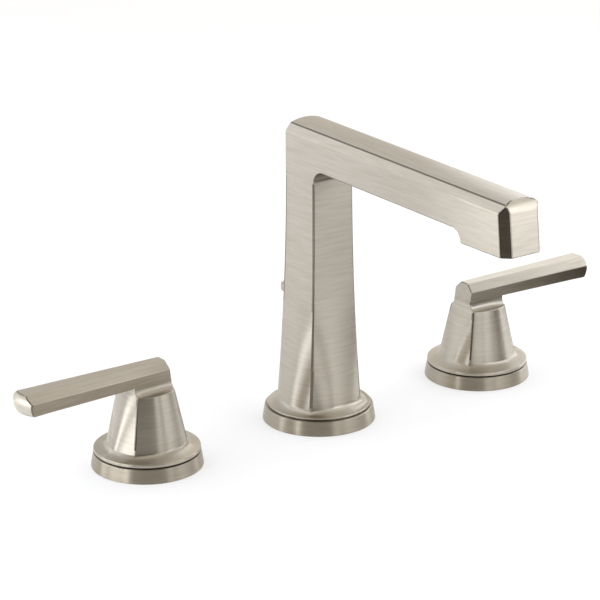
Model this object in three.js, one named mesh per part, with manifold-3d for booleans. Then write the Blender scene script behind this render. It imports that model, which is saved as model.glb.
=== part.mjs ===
// Widespread basin faucet: one spout and two lever handles that stand apart on a deck.
// Millimetres, +Z up. The origin is the centre of the spout's base, on the deck.
// The spout reaches along -Y towards the user. The hot handle is at -X and the cold one at +X.

import * as THREE from 'three';
import { mergeVertices } from 'three/addons/utils/BufferGeometryUtils.js';
import Module from 'manifold-3d';

const wasm = await Module();
wasm.setup();

// Layout of the three units, and clearances that all of them share
const HANDLE_CENTRES = 203.2;
const DECK_THICKNESS = 25;
const SEAT_GAP = 0.3;
const THREAD_GAP = 0.3;
const OVERRUN = 2;

// Counts of sides and steps on curved faces
const FINE_SIDES = 40;
const SIDES = 20;
const SCREW_SIDES = 12;
const HEX_SIDES = 6;
const FACE_STEPS = 6;
const FLARE_STEPS = 6;
const COLUMN_STEPS = 12;
const HUB_STEPS = 6;
const COVE_STEPS = 5;
const CROWN_STEPS = 8;
const FILLET_STEPS = 6;
const END_STEPS = 6;
const BEND_STEPS = 6;

// How far a piece of a joined body stays inside the one it grows out of
const BLEND_INSET = 0.05;

// Spout base ring
const SPOUT_RING_RADIUS = 28;
const SPOUT_RING_TOP_RADIUS = 26.9;
const SPOUT_RING_HEIGHT = 7.2;
const RING_EDGE_BREAK = 0.35;
const RING_WEB = 2;
const RING_WALL = 3.6;

// Spout foot, where the column flares into a round disc
const FOOT_DISC_RADIUS = 25.6;
const FOOT_DISC_EDGE = 0.5;
const FOOT_UNDERCUT_DEPTH = 1.3;
const FOOT_UNDERCUT_HEIGHT = 0.6;
const FOOT_HEIGHT = 11.8;
const FOOT_HALF_WIDTH = 15.2;
const FOOT_HALF_DEPTH = 14;
const FOOT_BOW = 4.2;
const BOW_TOP_HEIGHT = 76;

// Column and arm
const ARM_HALF_WIDTH = 11.75;
const COLUMN_FRONT_TOP = 11.75;
const COLUMN_REAR_TOP = 11;
const CORNER_FILLET = 7;
const ARM_UNDERSIDE = 131.9;
const ARM_DROOP_SHARE = 0.0165;
const ARM_LOWER_RIDGE = 146.45;
const ARM_UPPER_RIDGE = 150.15;
const ARM_CHAMFER_WIDTH = 3.1;
const ARM_CROWN_RISE = 1.4;
const COLUMN_WIDTH_POWER = 2.2;
const COLUMN_DEPTH_POWER = 1.3;
const BOW_POWER = 1.3;

// Tip of the arm
const TIP_REACH = 153;
const TIP_LEAN = 2.1;
const TIP_DROP = 7.9;
const TIP_BLOCK_LENGTH = 31.3;
const TIP_STEP_LENGTH = 6;
const TIP_FILLET = 6;
const TIP_CORNER_WIDTH = 3.9;
const TIP_CORNER_DEPTH = 3.5;

// Waterway inside the spout
const WATERWAY_RADIUS = 4.6;
const WATERWAY_BORE = 3;
const WATERWAY_BEND = 15;
const WATERWAY_CLEARANCE = 1.2;
const ARM_BORE_HEIGHT = 139.6;
const CHAMBER_RADIUS = 7.4;
const CHAMBER_HEIGHT = 144.5;

// Aerator
const AERATOR_SETBACK = 15.4;
const AERATOR_RADIUS = 9.6;
const AERATOR_DEPTH = 8;
const AERATOR_RECESS = 0.6;
const AERATOR_WALL = 1.4;
const AERATOR_LIP = 0.9;
const AERATOR_SEAL_HEIGHT = 1.4;
const AERATOR_CELL = 2.4;
const AERATOR_RIB = 0.7;
const AERATOR_CELLS = 2;

// Spout shank and what clamps it under the deck
const SHANK_RADIUS = 10.5;
const SHANK_BORE = 6.6;
const SHANK_TOP = 26;
const SHANK_LENGTH_BELOW = 52;
const COLUMN_BORE = 8;
const SPOUT_NUT_RADIUS = 17;

// Washers and nuts under the deck, alike on all three units
const RUBBER_WASHER_HEIGHT = 2;
const RUBBER_WASHER_RADIUS = 23.5;
const CLAMP_WASHER_HEIGHT = 1.6;
const CLAMP_WASHER_RADIUS = 22.5;
const NUT_HEIGHT = 7;
const VALVE_NUT_RADIUS = 19;
const NUT_FLANGE_HEIGHT = 1.6;
const NUT_FLANGE_WIDTH = 1;
const GASKET_HEIGHT = 1.8;
const GASKET_INSET = 0.4;

// Tee that joins the two hoses under the spout
const TEE_RADIUS = 10;
const TEE_HEIGHT = 20;
const TEE_SOCKET_DEPTH = 9;
const TEE_PORT_RADIUS = 6;
const TEE_PORT_BORE = 3.6;
const TEE_PORT_REACH = 23;
const TEE_PORT_DROP = 13;
const TEE_SEAL_HEIGHT = 1.5;

// Lift rod behind the column
const ROD_BACK = 21.2;
const ROD_RADIUS = 1.6;
const ROD_LENGTH_BELOW = 62;
const KNOB_RADIUS = 6.2;
const KNOB_UNDERSIDE = 60.6;
const KNOB_HEIGHT = 4;
const KNOB_EDGE = 0.9;
const KNOB_NECK_RADIUS = 2.7;
const KNOB_NECK_HEIGHT = 2.4;
const GUIDE_RADIUS = 3.1;
const GUIDE_HEIGHT = 3.2;
const ROD_CLEARANCE = 0.3;

// Handle base ring and glide ring
const HANDLE_RING_RADIUS = 26.9;
const HANDLE_RING_TOP_RADIUS = 25.8;
const HANDLE_RING_HEIGHT = 6.9;
const GLIDE_OUTER_RADIUS = 24.6;
const GLIDE_INNER_RADIUS = 20.4;
const GLIDE_HEIGHT = 1;
const GLIDE_GROOVE_DEPTH = 0.9;

// Hub of a handle: four bowed faces on a round disc
const HUB_DISC_RADIUS = 25.6;
const HUB_RIM_HEIGHT = 1.8;
const HUB_FOOT_HEIGHT = 12;
const HUB_FOOT_HALF_WIDTH = 14.9;
const HUB_FOOT_HALF_DEPTH = 12.4;
const HUB_TOP_HEIGHT = 37.9;
const HUB_TOP_HALF_WIDTH = 10.5;
const HUB_TOP_HALF_DEPTH = 9;
const HUB_FOOT_SIDE_BOW = 3.9;
const HUB_TOP_SIDE_BOW = 0.6;
const HUB_FOOT_FRONT_BOW = 4.9;
const HUB_TOP_FRONT_BOW = 3.4;
const SIDE_BOW_POWER = 1.2;

// Neck between hub and lever, with a cove round it
const NECK_LIP_BOW = 0.9;
const COVE_SWEEP = 62;
const COVE_TOP = 41;

// Lever
const LEVER_INNER_UNDERSIDE = 42.4;
const LEVER_OUTER_UNDERSIDE = 41.2;
const LEVER_RIDGE = 47.4;
const LEVER_TOP = 51.2;
const LEVER_INNER_LEAN = 1.3;
const LEVER_INNER_HALF_TOP = 2.65;
const LEVER_INNER_HALF_WIDTH = 6.55;
const LEVER_OUTER_HALF_TOP = 4.1;
const LEVER_OUTER_HALF_RIDGE = 8.6;
const LEVER_OUTER_HALF_FOOT = 8.1;
const LEVER_REACH = 69.9;
const LEVER_END_CROWN = 1.6;
const LEVER_END_SAG = 3;

// Hollow inside the hub
const HUB_HOLLOW_RADIUS = 17;
const HUB_HOLLOW_TOP_RADIUS = 10.5;
const HUB_HOLLOW_TOP = 27;

// Nut that holds the valve body down on its base ring, inside the hub
const FLANGE_NUT_RADIUS = 15.6;
const FLANGE_NUT_HEIGHT = 2;

// Valve body under a handle
const VALVE_RADIUS = 12.5;
const VALVE_TOP = 12;
const VALVE_BOTTOM = 56;
const VALVE_BORE = 9.2;
const VALVE_SEAT = 8;
const VALVE_THREAD_BORE = 10.2;
const VALVE_THREAD_DEPTH = 7;
const INLET_RADIUS = 10.5;
const INLET_LENGTH = 14;
const INLET_BORE = 7;
const WATER_HOLE_RADIUS = 2.2;
const WATER_HOLE_OFFSET = 4.6;
const OUTLET_RADIUS = 6.5;
const OUTLET_REACH = 24;
const OUTLET_DROP = 47;
const OUTLET_BORE = 3.8;

// Cartridge: seal, ceramic discs, stem, housing and bonnet nut
const SEAT_SEAL_HEIGHT = 1.6;
const DISC_HEIGHT = 2.2;
const DISC_RADIUS = 7.8;
const HOUSING_WALL = 0.8;
const HOUSING_NECK_RADIUS = 7;
const HOUSING_TOP = 17.4;
const STEM_RADIUS = 4.6;
const STEM_FLANGE_HEIGHT = 2;
const SPLINE_RADIUS = 4;
const SPLINE_DEPTH = 0.5;
const SPLINE_TEETH = 12;
const SPLINE_LENGTH = 13;
const SPLINE_TOP = 35.4;
const BONNET_RADIUS = 12;
const BONNET_HEIGHT = 4.2;

// Set screw at the back of a handle
const SET_SCREW_RADIUS = 2;
const SET_SCREW_HEIGHT = 31;
const SET_SCREW_LENGTH = 6.2;
const SET_SCREW_KEY = 1;
const SET_SCREW_KEY_DEPTH = 2.2;

// Heights and places worked out from the sizes above
const DECK_UNDERSIDE = -DECK_THICKNESS;
const RUBBER_WASHER_TOP = DECK_UNDERSIDE;
const CLAMP_WASHER_TOP = RUBBER_WASHER_TOP - RUBBER_WASHER_HEIGHT - SEAT_GAP;
const NUT_TOP = CLAMP_WASHER_TOP - CLAMP_WASHER_HEIGHT - SEAT_GAP;
const FOOT_BOTTOM = SPOUT_RING_HEIGHT + SEAT_GAP;
const COLUMN_TOP = ARM_UNDERSIDE - CORNER_FILLET;
const TIP_UNDERSIDE = ARM_UNDERSIDE - TIP_DROP;
const TIP_HEEL = TIP_REACH - TIP_BLOCK_LENGTH;
const AERATOR_BACK = TIP_REACH - AERATOR_SETBACK;
const HUB_BOTTOM = HANDLE_RING_HEIGHT + GLIDE_HEIGHT - GLIDE_GROOVE_DEPTH + 2 * SEAT_GAP;
const LEVER_START = -HUB_TOP_HALF_WIDTH - OVERRUN;
const QUARTER_TURN = Math.PI / 2;
const FULL_TURN = 2 * Math.PI;
const HEX_TWIST = Math.PI / HEX_SIDES;

// Closed mesh geometry from points and faces, and to and from solids that can be joined and cut

function meshOf(points, faces) {
  const geometry = new THREE.BufferGeometry();
  const coordinates = points.flatMap((point) => [point.x, point.y, point.z]);
  geometry.setAttribute('position', new THREE.Float32BufferAttribute(coordinates, 3));
  geometry.setIndex(faces.flat());
  return geometry;
}

function solidOf(geometry) {
  const bare = geometry.clone();
  bare.deleteAttribute('normal');
  bare.deleteAttribute('uv');
  const merged = mergeVertices(bare);
  const vertProperties = new Float32Array(merged.attributes.position.array);
  const triVerts = new Uint32Array(merged.index.array);
  return new wasm.Manifold(new wasm.Mesh({ numProp: 3, vertProperties, triVerts }));
}

function geometryOf(solid) {
  const mesh = solid.getMesh();
  const geometry = new THREE.BufferGeometry();
  geometry.setAttribute('position', new THREE.Float32BufferAttribute(mesh.vertProperties, 3));
  geometry.setIndex(Array.from(mesh.triVerts));
  return geometry;
}

// A solid turned about +Z: profile is [radius, height] pairs that run up the outside
function turned(profile, sides = SIDES) {
  const points = profile.map(([radius, height]) => new THREE.Vector2(radius, height));
  return solidOf(new THREE.LatheGeometry(points, sides).rotateX(QUARTER_TURN));
}

function rod(radius, bottom, top, sides = SIDES) {
  return turned([[0, bottom], [radius, bottom], [radius, top], [0, top]], sides);
}

function tube(outer, inner, bottom, top, sides = SIDES) {
  return turned([[inner, bottom], [outer, bottom], [outer, top], [inner, top], [inner, bottom]], sides);
}

// A plain round rod that lies along another axis, from one point to another
function rodBetween(radius, from, to, sides = SIDES) {
  const reach = to.clone().sub(from);
  const geometry = new THREE.CylinderGeometry(radius, radius, reach.length(), sides);
  const up = new THREE.Vector3(0, 1, 0);
  const turn = new THREE.Quaternion().setFromUnitVectors(up, reach.clone().normalize());
  geometry.applyQuaternion(turn);
  const middle = from.clone().add(to).multiplyScalar(1 / 2);
  return solidOf(geometry.translate(middle.x, middle.y, middle.z));
}

function hexagon(radius, bottom, top) {
  return rod(radius, bottom, top, HEX_SIDES).rotate([0, 0, THREE.MathUtils.radToDeg(HEX_TWIST)]);
}

// A skin through rings of points, all with the same count, closed by a fan at each end
function loft(rings) {
  const count = rings[0].length;
  const points = rings.flat();
  const faces = [];
  for (let level = 0; level + 1 < rings.length; level += 1) {
    for (let i = 0; i < count; i += 1) {
      const next = (i + 1) % count;
      const low = level * count;
      const high = low + count;
      faces.push([low + i, low + next, high + next], [low + i, high + next, high + i]);
    }
  }
  const firstCentre = points.push(centreOf(rings[0])) - 1;
  const lastCentre = points.push(centreOf(rings[rings.length - 1])) - 1;
  const last = (rings.length - 1) * count;
  for (let i = 0; i < count; i += 1) {
    const next = (i + 1) % count;
    faces.push([firstCentre, next, i], [lastCentre, last + i, last + next]);
  }
  return solidOf(meshOf(points, faces));
}

function centreOf(ring) {
  return ring.reduce((sum, point) => sum.add(point), new THREE.Vector3()).divideScalar(ring.length);
}

// A flat outline drawn in two of the axes and run along the third
function alongX(outline, from, to) {
  const geometry = new THREE.ExtrudeGeometry(shapeOf(outline), { depth: to - from, bevelEnabled: false });
  geometry.rotateX(QUARTER_TURN).rotateZ(QUARTER_TURN);
  return solidOf(geometry.translate(from, 0, 0));
}

function alongZ(outline, from, to) {
  const geometry = new THREE.ExtrudeGeometry(shapeOf(outline), { depth: to - from, bevelEnabled: false });
  return solidOf(geometry.translate(0, 0, from));
}

function shapeOf(outline) {
  return new THREE.Shape(outline.map(([u, v]) => new THREE.Vector2(u, v)));
}

// Points of an arc from one angle to another, in degrees
function arc(centreU, centreV, radius, fromDegrees, toDegrees, steps) {
  return Array.from({ length: steps + 1 }, (_, i) => {
    const angle = THREE.MathUtils.degToRad(THREE.MathUtils.lerp(fromDegrees, toDegrees, i / steps));
    return [centreU + radius * Math.cos(angle), centreV + radius * Math.sin(angle)];
  });
}

// Places along one face, from -1 at its first corner to just short of 1 at its last
function faceShares() {
  return Array.from({ length: FACE_STEPS }, (_, i) => (i + i - FACE_STEPS) / FACE_STEPS);
}

// Plan of a four-sided bell: each face bows out between two sharp corners
function bellPlan({ halfWidth, front, rear, sideBow, frontBow }) {
  const middle = (rear - front) / 2;
  const halfDepth = (rear + front) / 2;
  const shares = faceShares();
  return [
    ...shares.map((t) => [halfWidth + sideBow * (1 - t * t), middle + halfDepth * t]),
    ...shares.map((t) => [-halfWidth * t, rear + frontBow * (1 - t * t)]),
    ...shares.map((t) => [-halfWidth - sideBow * (1 - t * t), middle - halfDepth * t]),
    ...shares.map((t) => [halfWidth * t, -front - frontBow * (1 - t * t)]),
  ];
}

function ringAt(plan, height) {
  return plan.map(([x, y]) => new THREE.Vector3(x, y, height));
}

// The same points pushed out to a circle, each at its own angle
function roundPlan(plan, radius) {
  return plan.map(([x, y]) => {
    const size = Math.hypot(x, y);
    return [(x * radius) / size, (y * radius) / size];
  });
}

// Rings of a concave flare that turns a plan into a disc of some radius, from the disc's edge up
function flareRings(plan, discRadius, discTop, footHeight) {
  const circle = roundPlan(plan, discRadius);
  return Array.from({ length: FLARE_STEPS }, (_, i) => {
    const angle = QUARTER_TURN * (1 - i / FLARE_STEPS);
    const outShare = 1 - Math.cos(angle);
    const height = footHeight - (footHeight - discTop) * Math.sin(angle);
    return ringAt(plan.map(([x, y], k) => [
      THREE.MathUtils.lerp(x, circle[k][0], outShare),
      THREE.MathUtils.lerp(y, circle[k][1], outShare),
    ]), height);
  });
}

// Spout body: bell column and chamfered arm, hollow from the foot to the tip

function columnPlan(height) {
  const lowShare = Math.max(0, (COLUMN_TOP - height) / (COLUMN_TOP - FOOT_HEIGHT));
  const bowShare = Math.max(0, (BOW_TOP_HEIGHT - height) / (BOW_TOP_HEIGHT - FOOT_HEIGHT));
  const depthShare = lowShare ** COLUMN_DEPTH_POWER;
  const bow = FOOT_BOW * bowShare ** BOW_POWER;
  return bellPlan({
    halfWidth: THREE.MathUtils.lerp(ARM_HALF_WIDTH, FOOT_HALF_WIDTH, lowShare ** COLUMN_WIDTH_POWER),
    front: THREE.MathUtils.lerp(COLUMN_FRONT_TOP, FOOT_HALF_DEPTH, depthShare),
    rear: THREE.MathUtils.lerp(COLUMN_REAR_TOP, FOOT_HALF_DEPTH, depthShare),
    sideBow: bow,
    frontBow: bow,
  });
}

function columnSolid() {
  const footPlan = columnPlan(FOOT_HEIGHT);
  const spigotRadius = FOOT_DISC_RADIUS - FOOT_UNDERCUT_DEPTH;
  const edgeBottom = FOOT_BOTTOM + FOOT_UNDERCUT_HEIGHT;
  const edgeTop = edgeBottom + FOOT_DISC_EDGE;
  const rings = [
    ringAt(roundPlan(footPlan, spigotRadius), FOOT_BOTTOM),
    ringAt(roundPlan(footPlan, spigotRadius), edgeBottom),
    ringAt(roundPlan(footPlan, FOOT_DISC_RADIUS), edgeBottom),
    ...flareRings(footPlan, FOOT_DISC_RADIUS, edgeTop, FOOT_HEIGHT),
  ];
  for (let i = 0; i <= COLUMN_STEPS; i += 1) {
    const height = THREE.MathUtils.lerp(FOOT_HEIGHT, COLUMN_TOP, i / COLUMN_STEPS);
    rings.push(ringAt(columnPlan(height), height));
  }
  rings.push(ringAt(columnPlan(COLUMN_TOP), COLUMN_TOP + OVERRUN));
  return loft(rings);
}

function droop(back) {
  return -ARM_DROOP_SHARE * back;
}

// Cross-section of the arm, repeated along its length as the arm droops
function armSection(back) {
  const halfTop = ARM_HALF_WIDTH - ARM_CHAMFER_WIDTH;
  const crown = Array.from({ length: CROWN_STEPS + 1 }, (_, i) => {
    const t = 1 - (2 * i) / CROWN_STEPS;
    return [halfTop * t, ARM_UPPER_RIDGE + ARM_CROWN_RISE * (1 - t * t)];
  });
  const drooping = [[ARM_HALF_WIDTH, ARM_LOWER_RIDGE], ...crown, [-ARM_HALF_WIDTH, ARM_LOWER_RIDGE]];
  return [
    new THREE.Vector3(-ARM_HALF_WIDTH, -back, TIP_UNDERSIDE - OVERRUN),
    new THREE.Vector3(ARM_HALF_WIDTH, -back, TIP_UNDERSIDE - OVERRUN),
    ...drooping.map(([x, z]) => new THREE.Vector3(x, -back, z + droop(back))),
  ];
}

// Side view of the arm in Y and Z: fillet at the column, step under the tip, rounded nose
function armSideView() {
  const underside = (back) => ARM_UNDERSIDE + droop(back);
  const stepBack = TIP_HEEL - TIP_STEP_LENGTH;
  const noseBack = TIP_REACH - TIP_LEAN;
  const noseTop = ARM_UPPER_RIDGE + ARM_CROWN_RISE + droop(noseBack - TIP_FILLET);
  const stepDrop = underside(stepBack) - TIP_UNDERSIDE;
  const step = Array.from({ length: FILLET_STEPS + 1 }, (_, i) => {
    const angle = (QUARTER_TURN * i) / FILLET_STEPS;
    return [-(stepBack + TIP_STEP_LENGTH * Math.sin(angle)), TIP_UNDERSIDE + stepDrop * Math.cos(angle)];
  });
  const filletBack = COLUMN_FRONT_TOP + CORNER_FILLET;
  const inner = arc(-filletBack, COLUMN_TOP, CORNER_FILLET, 0, 90, FILLET_STEPS).map(([y, z]) => {
    const share = (z - COLUMN_TOP) / CORNER_FILLET;
    return [y, z + share * droop(filletBack)];
  });
  const nose = arc(-(noseBack - TIP_FILLET), noseTop - TIP_FILLET, TIP_FILLET, 90, 180, FILLET_STEPS);
  return [
    [COLUMN_REAR_TOP, COLUMN_TOP],
    [COLUMN_REAR_TOP, ARM_UPPER_RIDGE + ARM_CROWN_RISE + OVERRUN],
    [-(noseBack - TIP_FILLET), ARM_UPPER_RIDGE + ARM_CROWN_RISE + OVERRUN],
    ...nose,
    [-TIP_REACH, TIP_UNDERSIDE],
    ...step.reverse(),
    ...inner.reverse(),
  ];
}

// Plan of the arm at one height, with the two upright corners of the tip cut off as far as it leans
function armPlan(height) {
  const leanRun = ARM_UPPER_RIDGE - TIP_FILLET - TIP_UNDERSIDE;
  const reach = TIP_REACH - (TIP_LEAN * (height - TIP_UNDERSIDE)) / leanRun;
  const wide = ARM_HALF_WIDTH + OVERRUN;
  const cornerBack = reach - TIP_CORNER_DEPTH - (OVERRUN * TIP_CORNER_DEPTH) / TIP_CORNER_WIDTH;
  const noseHalfWidth = ARM_HALF_WIDTH - TIP_CORNER_WIDTH;
  return ringAt([
    [-wide, COLUMN_REAR_TOP + OVERRUN],
    [-wide, -cornerBack],
    [-noseHalfWidth, -reach],
    [noseHalfWidth, -reach],
    [wide, -cornerBack],
    [wide, COLUMN_REAR_TOP + OVERRUN],
  ], height);
}

function armSolid() {
  const bar = loft([armSection(-COLUMN_REAR_TOP - OVERRUN), armSection(TIP_REACH + OVERRUN)]);
  const side = alongX(armSideView(), -ARM_HALF_WIDTH - OVERRUN, ARM_HALF_WIDTH + OVERRUN);
  const plan = loft([armPlan(TIP_UNDERSIDE - OVERRUN), armPlan(ARM_UPPER_RIDGE + ARM_CROWN_RISE + OVERRUN)]);
  return bar.intersect(side).intersect(plan);
}

// A round rod that follows the waterway: up the column, round one bend and along the arm
function waterwayRod(radius, bottom, endBack) {
  const ringAlong = (degrees, y, z) => {
    const lean = THREE.MathUtils.degToRad(degrees);
    return arc(0, 0, radius, 0, 360, SIDES).slice(1).map(([x, out]) => (
      new THREE.Vector3(x, y + out * Math.cos(lean), z + out * Math.sin(lean))
    ));
  };
  const bendHeight = ARM_BORE_HEIGHT - WATERWAY_BEND;
  const bend = arc(-WATERWAY_BEND, bendHeight, WATERWAY_BEND, 0, 90, BEND_STEPS);
  return loft([
    ringAlong(0, 0, bottom),
    ...bend.map(([y, z], i) => ringAlong((90 * i) / BEND_STEPS, y, z)),
    ringAlong(90, -endBack, ARM_BORE_HEIGHT),
  ]);
}

function waterwayTube() {
  const outside = waterwayRod(WATERWAY_RADIUS, WATERWAY_BOTTOM, WATERWAY_END);
  return outside.subtract(waterwayRod(WATERWAY_BORE, WATERWAY_BOTTOM - OVERRUN, WATERWAY_END + OVERRUN));
}

const AERATOR_SEAT = TIP_UNDERSIDE + AERATOR_RECESS + AERATOR_DEPTH + AERATOR_SEAL_HEIGHT + 2 * SEAT_GAP;
const WATERWAY_END = AERATOR_BACK - CHAMBER_RADIUS - SEAT_GAP;
const TEE_TOP = -SHANK_LENGTH_BELOW - SEAT_GAP;
const WATERWAY_BOTTOM = TEE_TOP - TEE_SOCKET_DEPTH + TEE_SEAL_HEIGHT + 2 * SEAT_GAP;

function spoutBody() {
  const boreRadius = WATERWAY_RADIUS + WATERWAY_CLEARANCE;
  const overTip = [0, -AERATOR_BACK, 0];
  const shell = columnSolid().add(armSolid());
  const hollows = [
    rod(SHANK_RADIUS + THREAD_GAP, FOOT_BOTTOM - OVERRUN, SHANK_TOP + SEAT_GAP),
    rod(COLUMN_BORE, SHANK_TOP, ARM_BORE_HEIGHT - WATERWAY_BEND),
    waterwayRod(boreRadius, SHANK_TOP, AERATOR_BACK),
    rod(CHAMBER_RADIUS, AERATOR_SEAT - OVERRUN, CHAMBER_HEIGHT).translate(overTip),
    rod(AERATOR_RADIUS + THREAD_GAP, TIP_UNDERSIDE - OVERRUN, AERATOR_SEAT).translate(overTip),
    rod(GUIDE_RADIUS + SEAT_GAP, FOOT_BOTTOM - OVERRUN, FOOT_HEIGHT + OVERRUN).translate([0, ROD_BACK, 0]),
  ];
  return hollows.reduce((body, hollow) => body.subtract(hollow), shell);
}

// Rings and gaskets between the deck and the three units

function baseRing(radius, topRadius, height, boreRadius) {
  const recessRadius = radius - RING_WALL;
  const profile = [
    [boreRadius, height - RING_WEB],
    [recessRadius, height - RING_WEB],
    [recessRadius, 0],
    [radius, 0],
    [radius, RING_EDGE_BREAK],
    [topRadius + RING_EDGE_BREAK / 2, height - RING_EDGE_BREAK],
    [topRadius - RING_EDGE_BREAK, height],
    [boreRadius, height],
    [boreRadius, height - RING_WEB],
  ];
  return turned(profile, FINE_SIDES);
}

function baseGasket(ringRadius, ringHeight, boreRadius) {
  const outer = ringRadius - RING_WALL - GASKET_INSET;
  const hub = boreRadius + RING_WALL;
  const webUnderside = ringHeight - RING_WEB - SEAT_GAP;
  return turned([
    [boreRadius, 0],
    [outer, 0],
    [outer, GASKET_HEIGHT],
    [hub, GASKET_HEIGHT],
    [hub, webUnderside],
    [boreRadius, webUnderside],
    [boreRadius, 0],
  ]);
}

function glideGroove() {
  const bottom = HANDLE_RING_HEIGHT - GLIDE_GROOVE_DEPTH;
  const top = HANDLE_RING_HEIGHT + OVERRUN;
  return tube(GLIDE_OUTER_RADIUS + SEAT_GAP, GLIDE_INNER_RADIUS - SEAT_GAP, bottom, top, FINE_SIDES);
}

function glideRing() {
  const bottom = HANDLE_RING_HEIGHT - GLIDE_GROOVE_DEPTH + SEAT_GAP;
  return tube(GLIDE_OUTER_RADIUS, GLIDE_INNER_RADIUS, bottom, bottom + GLIDE_HEIGHT, FINE_SIDES);
}

// Notch that lets the lift rod past the washers, and a hole for it in the ring and gasket
function rodPassage(bottom, top) {
  return rod(ROD_RADIUS + 2 * ROD_CLEARANCE, bottom, top, SCREW_SIDES).translate([0, ROD_BACK, 0]);
}

function rodNotch(bottom, top) {
  const half = ROD_RADIUS + 2 * ROD_CLEARANCE;
  const end = ROD_BACK + RUBBER_WASHER_RADIUS;
  const outline = [[-half, ROD_BACK], [half, ROD_BACK], [half, end], [-half, end]];
  return alongZ(outline, bottom, top).add(rodPassage(bottom, top));
}

// Clamp under the deck: rubber washer, steel washer and nut on a threaded shank

function rubberWasher(shankRadius) {
  const bottom = RUBBER_WASHER_TOP - RUBBER_WASHER_HEIGHT;
  return tube(RUBBER_WASHER_RADIUS, shankRadius + THREAD_GAP, bottom, RUBBER_WASHER_TOP);
}

function clampWasher(shankRadius) {
  const bottom = CLAMP_WASHER_TOP - CLAMP_WASHER_HEIGHT;
  return tube(CLAMP_WASHER_RADIUS, shankRadius + THREAD_GAP, bottom, CLAMP_WASHER_TOP);
}

function mountingNut(shankRadius, acrossCorners) {
  const flange = rod(acrossCorners + NUT_FLANGE_WIDTH, NUT_TOP - NUT_FLANGE_HEIGHT, NUT_TOP);
  const hex = hexagon(acrossCorners, NUT_TOP - NUT_HEIGHT, NUT_TOP - NUT_FLANGE_HEIGHT / 2);
  const hole = rod(shankRadius + THREAD_GAP, NUT_TOP - NUT_HEIGHT - OVERRUN, NUT_TOP + OVERRUN);
  return flange.add(hex).subtract(hole);
}

// Spout fittings

function spoutShank() {
  return tube(SHANK_RADIUS, SHANK_BORE, -SHANK_LENGTH_BELOW, SHANK_TOP);
}

function spoutTee() {
  const portHeight = TEE_TOP - TEE_PORT_DROP;
  const left = new THREE.Vector3(-TEE_PORT_REACH, 0, portHeight);
  const right = new THREE.Vector3(TEE_PORT_REACH, 0, portHeight);
  const over = new THREE.Vector3(OVERRUN, 0, 0);
  const barrel = rod(TEE_RADIUS, TEE_TOP - TEE_HEIGHT, TEE_TOP);
  const ports = rodBetween(TEE_PORT_RADIUS, left, right);
  const portBore = rodBetween(TEE_PORT_BORE, left.clone().sub(over), right.clone().add(over), SCREW_SIDES);
  const socket = rod(WATERWAY_RADIUS + THREAD_GAP, TEE_TOP - TEE_SOCKET_DEPTH, TEE_TOP + OVERRUN);
  const throat = rod(WATERWAY_BORE, portHeight, TEE_TOP);
  return barrel.add(ports).subtract(portBore).subtract(socket).subtract(throat);
}

function spoutTeeSeal() {
  const bottom = TEE_TOP - TEE_SOCKET_DEPTH + SEAT_GAP;
  return tube(WATERWAY_RADIUS, WATERWAY_BORE, bottom, bottom + TEE_SEAL_HEIGHT, SCREW_SIDES);
}

function aeratorHousing() {
  const bottom = TIP_UNDERSIDE + AERATOR_RECESS;
  const inner = AERATOR_RADIUS - AERATOR_WALL;
  return turned([
    [inner - AERATOR_LIP, bottom],
    [AERATOR_RADIUS, bottom],
    [AERATOR_RADIUS, bottom + AERATOR_DEPTH],
    [inner, bottom + AERATOR_DEPTH],
    [inner, bottom + AERATOR_WALL],
    [inner - AERATOR_LIP, bottom + AERATOR_WALL],
    [inner - AERATOR_LIP, bottom],
  ]).translate([0, -AERATOR_BACK, 0]);
}

// Flow straightener: a disc with a grid of square cells through it
function aeratorInsert() {
  const bottom = TIP_UNDERSIDE + AERATOR_RECESS + AERATOR_WALL + SEAT_GAP;
  const top = TIP_UNDERSIDE + AERATOR_RECESS + AERATOR_DEPTH;
  const pitch = AERATOR_CELL + AERATOR_RIB;
  const half = AERATOR_CELL / 2;
  const outline = [[-half, -half], [half, -half], [half, half], [-half, half]];
  const cell = alongZ(outline, bottom - OVERRUN, top + OVERRUN);
  let insert = rod(AERATOR_RADIUS - AERATOR_WALL - SEAT_GAP, bottom, top);
  for (let i = -AERATOR_CELLS; i <= AERATOR_CELLS; i += 1) {
    for (let k = -AERATOR_CELLS; k <= AERATOR_CELLS; k += 1) {
      if (Math.abs(i) + Math.abs(k) <= AERATOR_CELLS) {
        insert = insert.subtract(cell.translate([i * pitch, k * pitch, 0]));
      }
    }
  }
  return insert.translate([0, -AERATOR_BACK, 0]);
}

function aeratorGasket() {
  const bottom = TIP_UNDERSIDE + AERATOR_RECESS + AERATOR_DEPTH + SEAT_GAP;
  const gasket = tube(AERATOR_RADIUS, CHAMBER_RADIUS, bottom, bottom + AERATOR_SEAL_HEIGHT);
  return gasket.translate([0, -AERATOR_BACK, 0]);
}

// Lift rod, its knob and its guide in the spout's foot

function liftRod() {
  const top = KNOB_UNDERSIDE - SEAT_GAP;
  return rod(ROD_RADIUS, -ROD_LENGTH_BELOW, top, SCREW_SIDES).translate([0, ROD_BACK, 0]);
}

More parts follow.
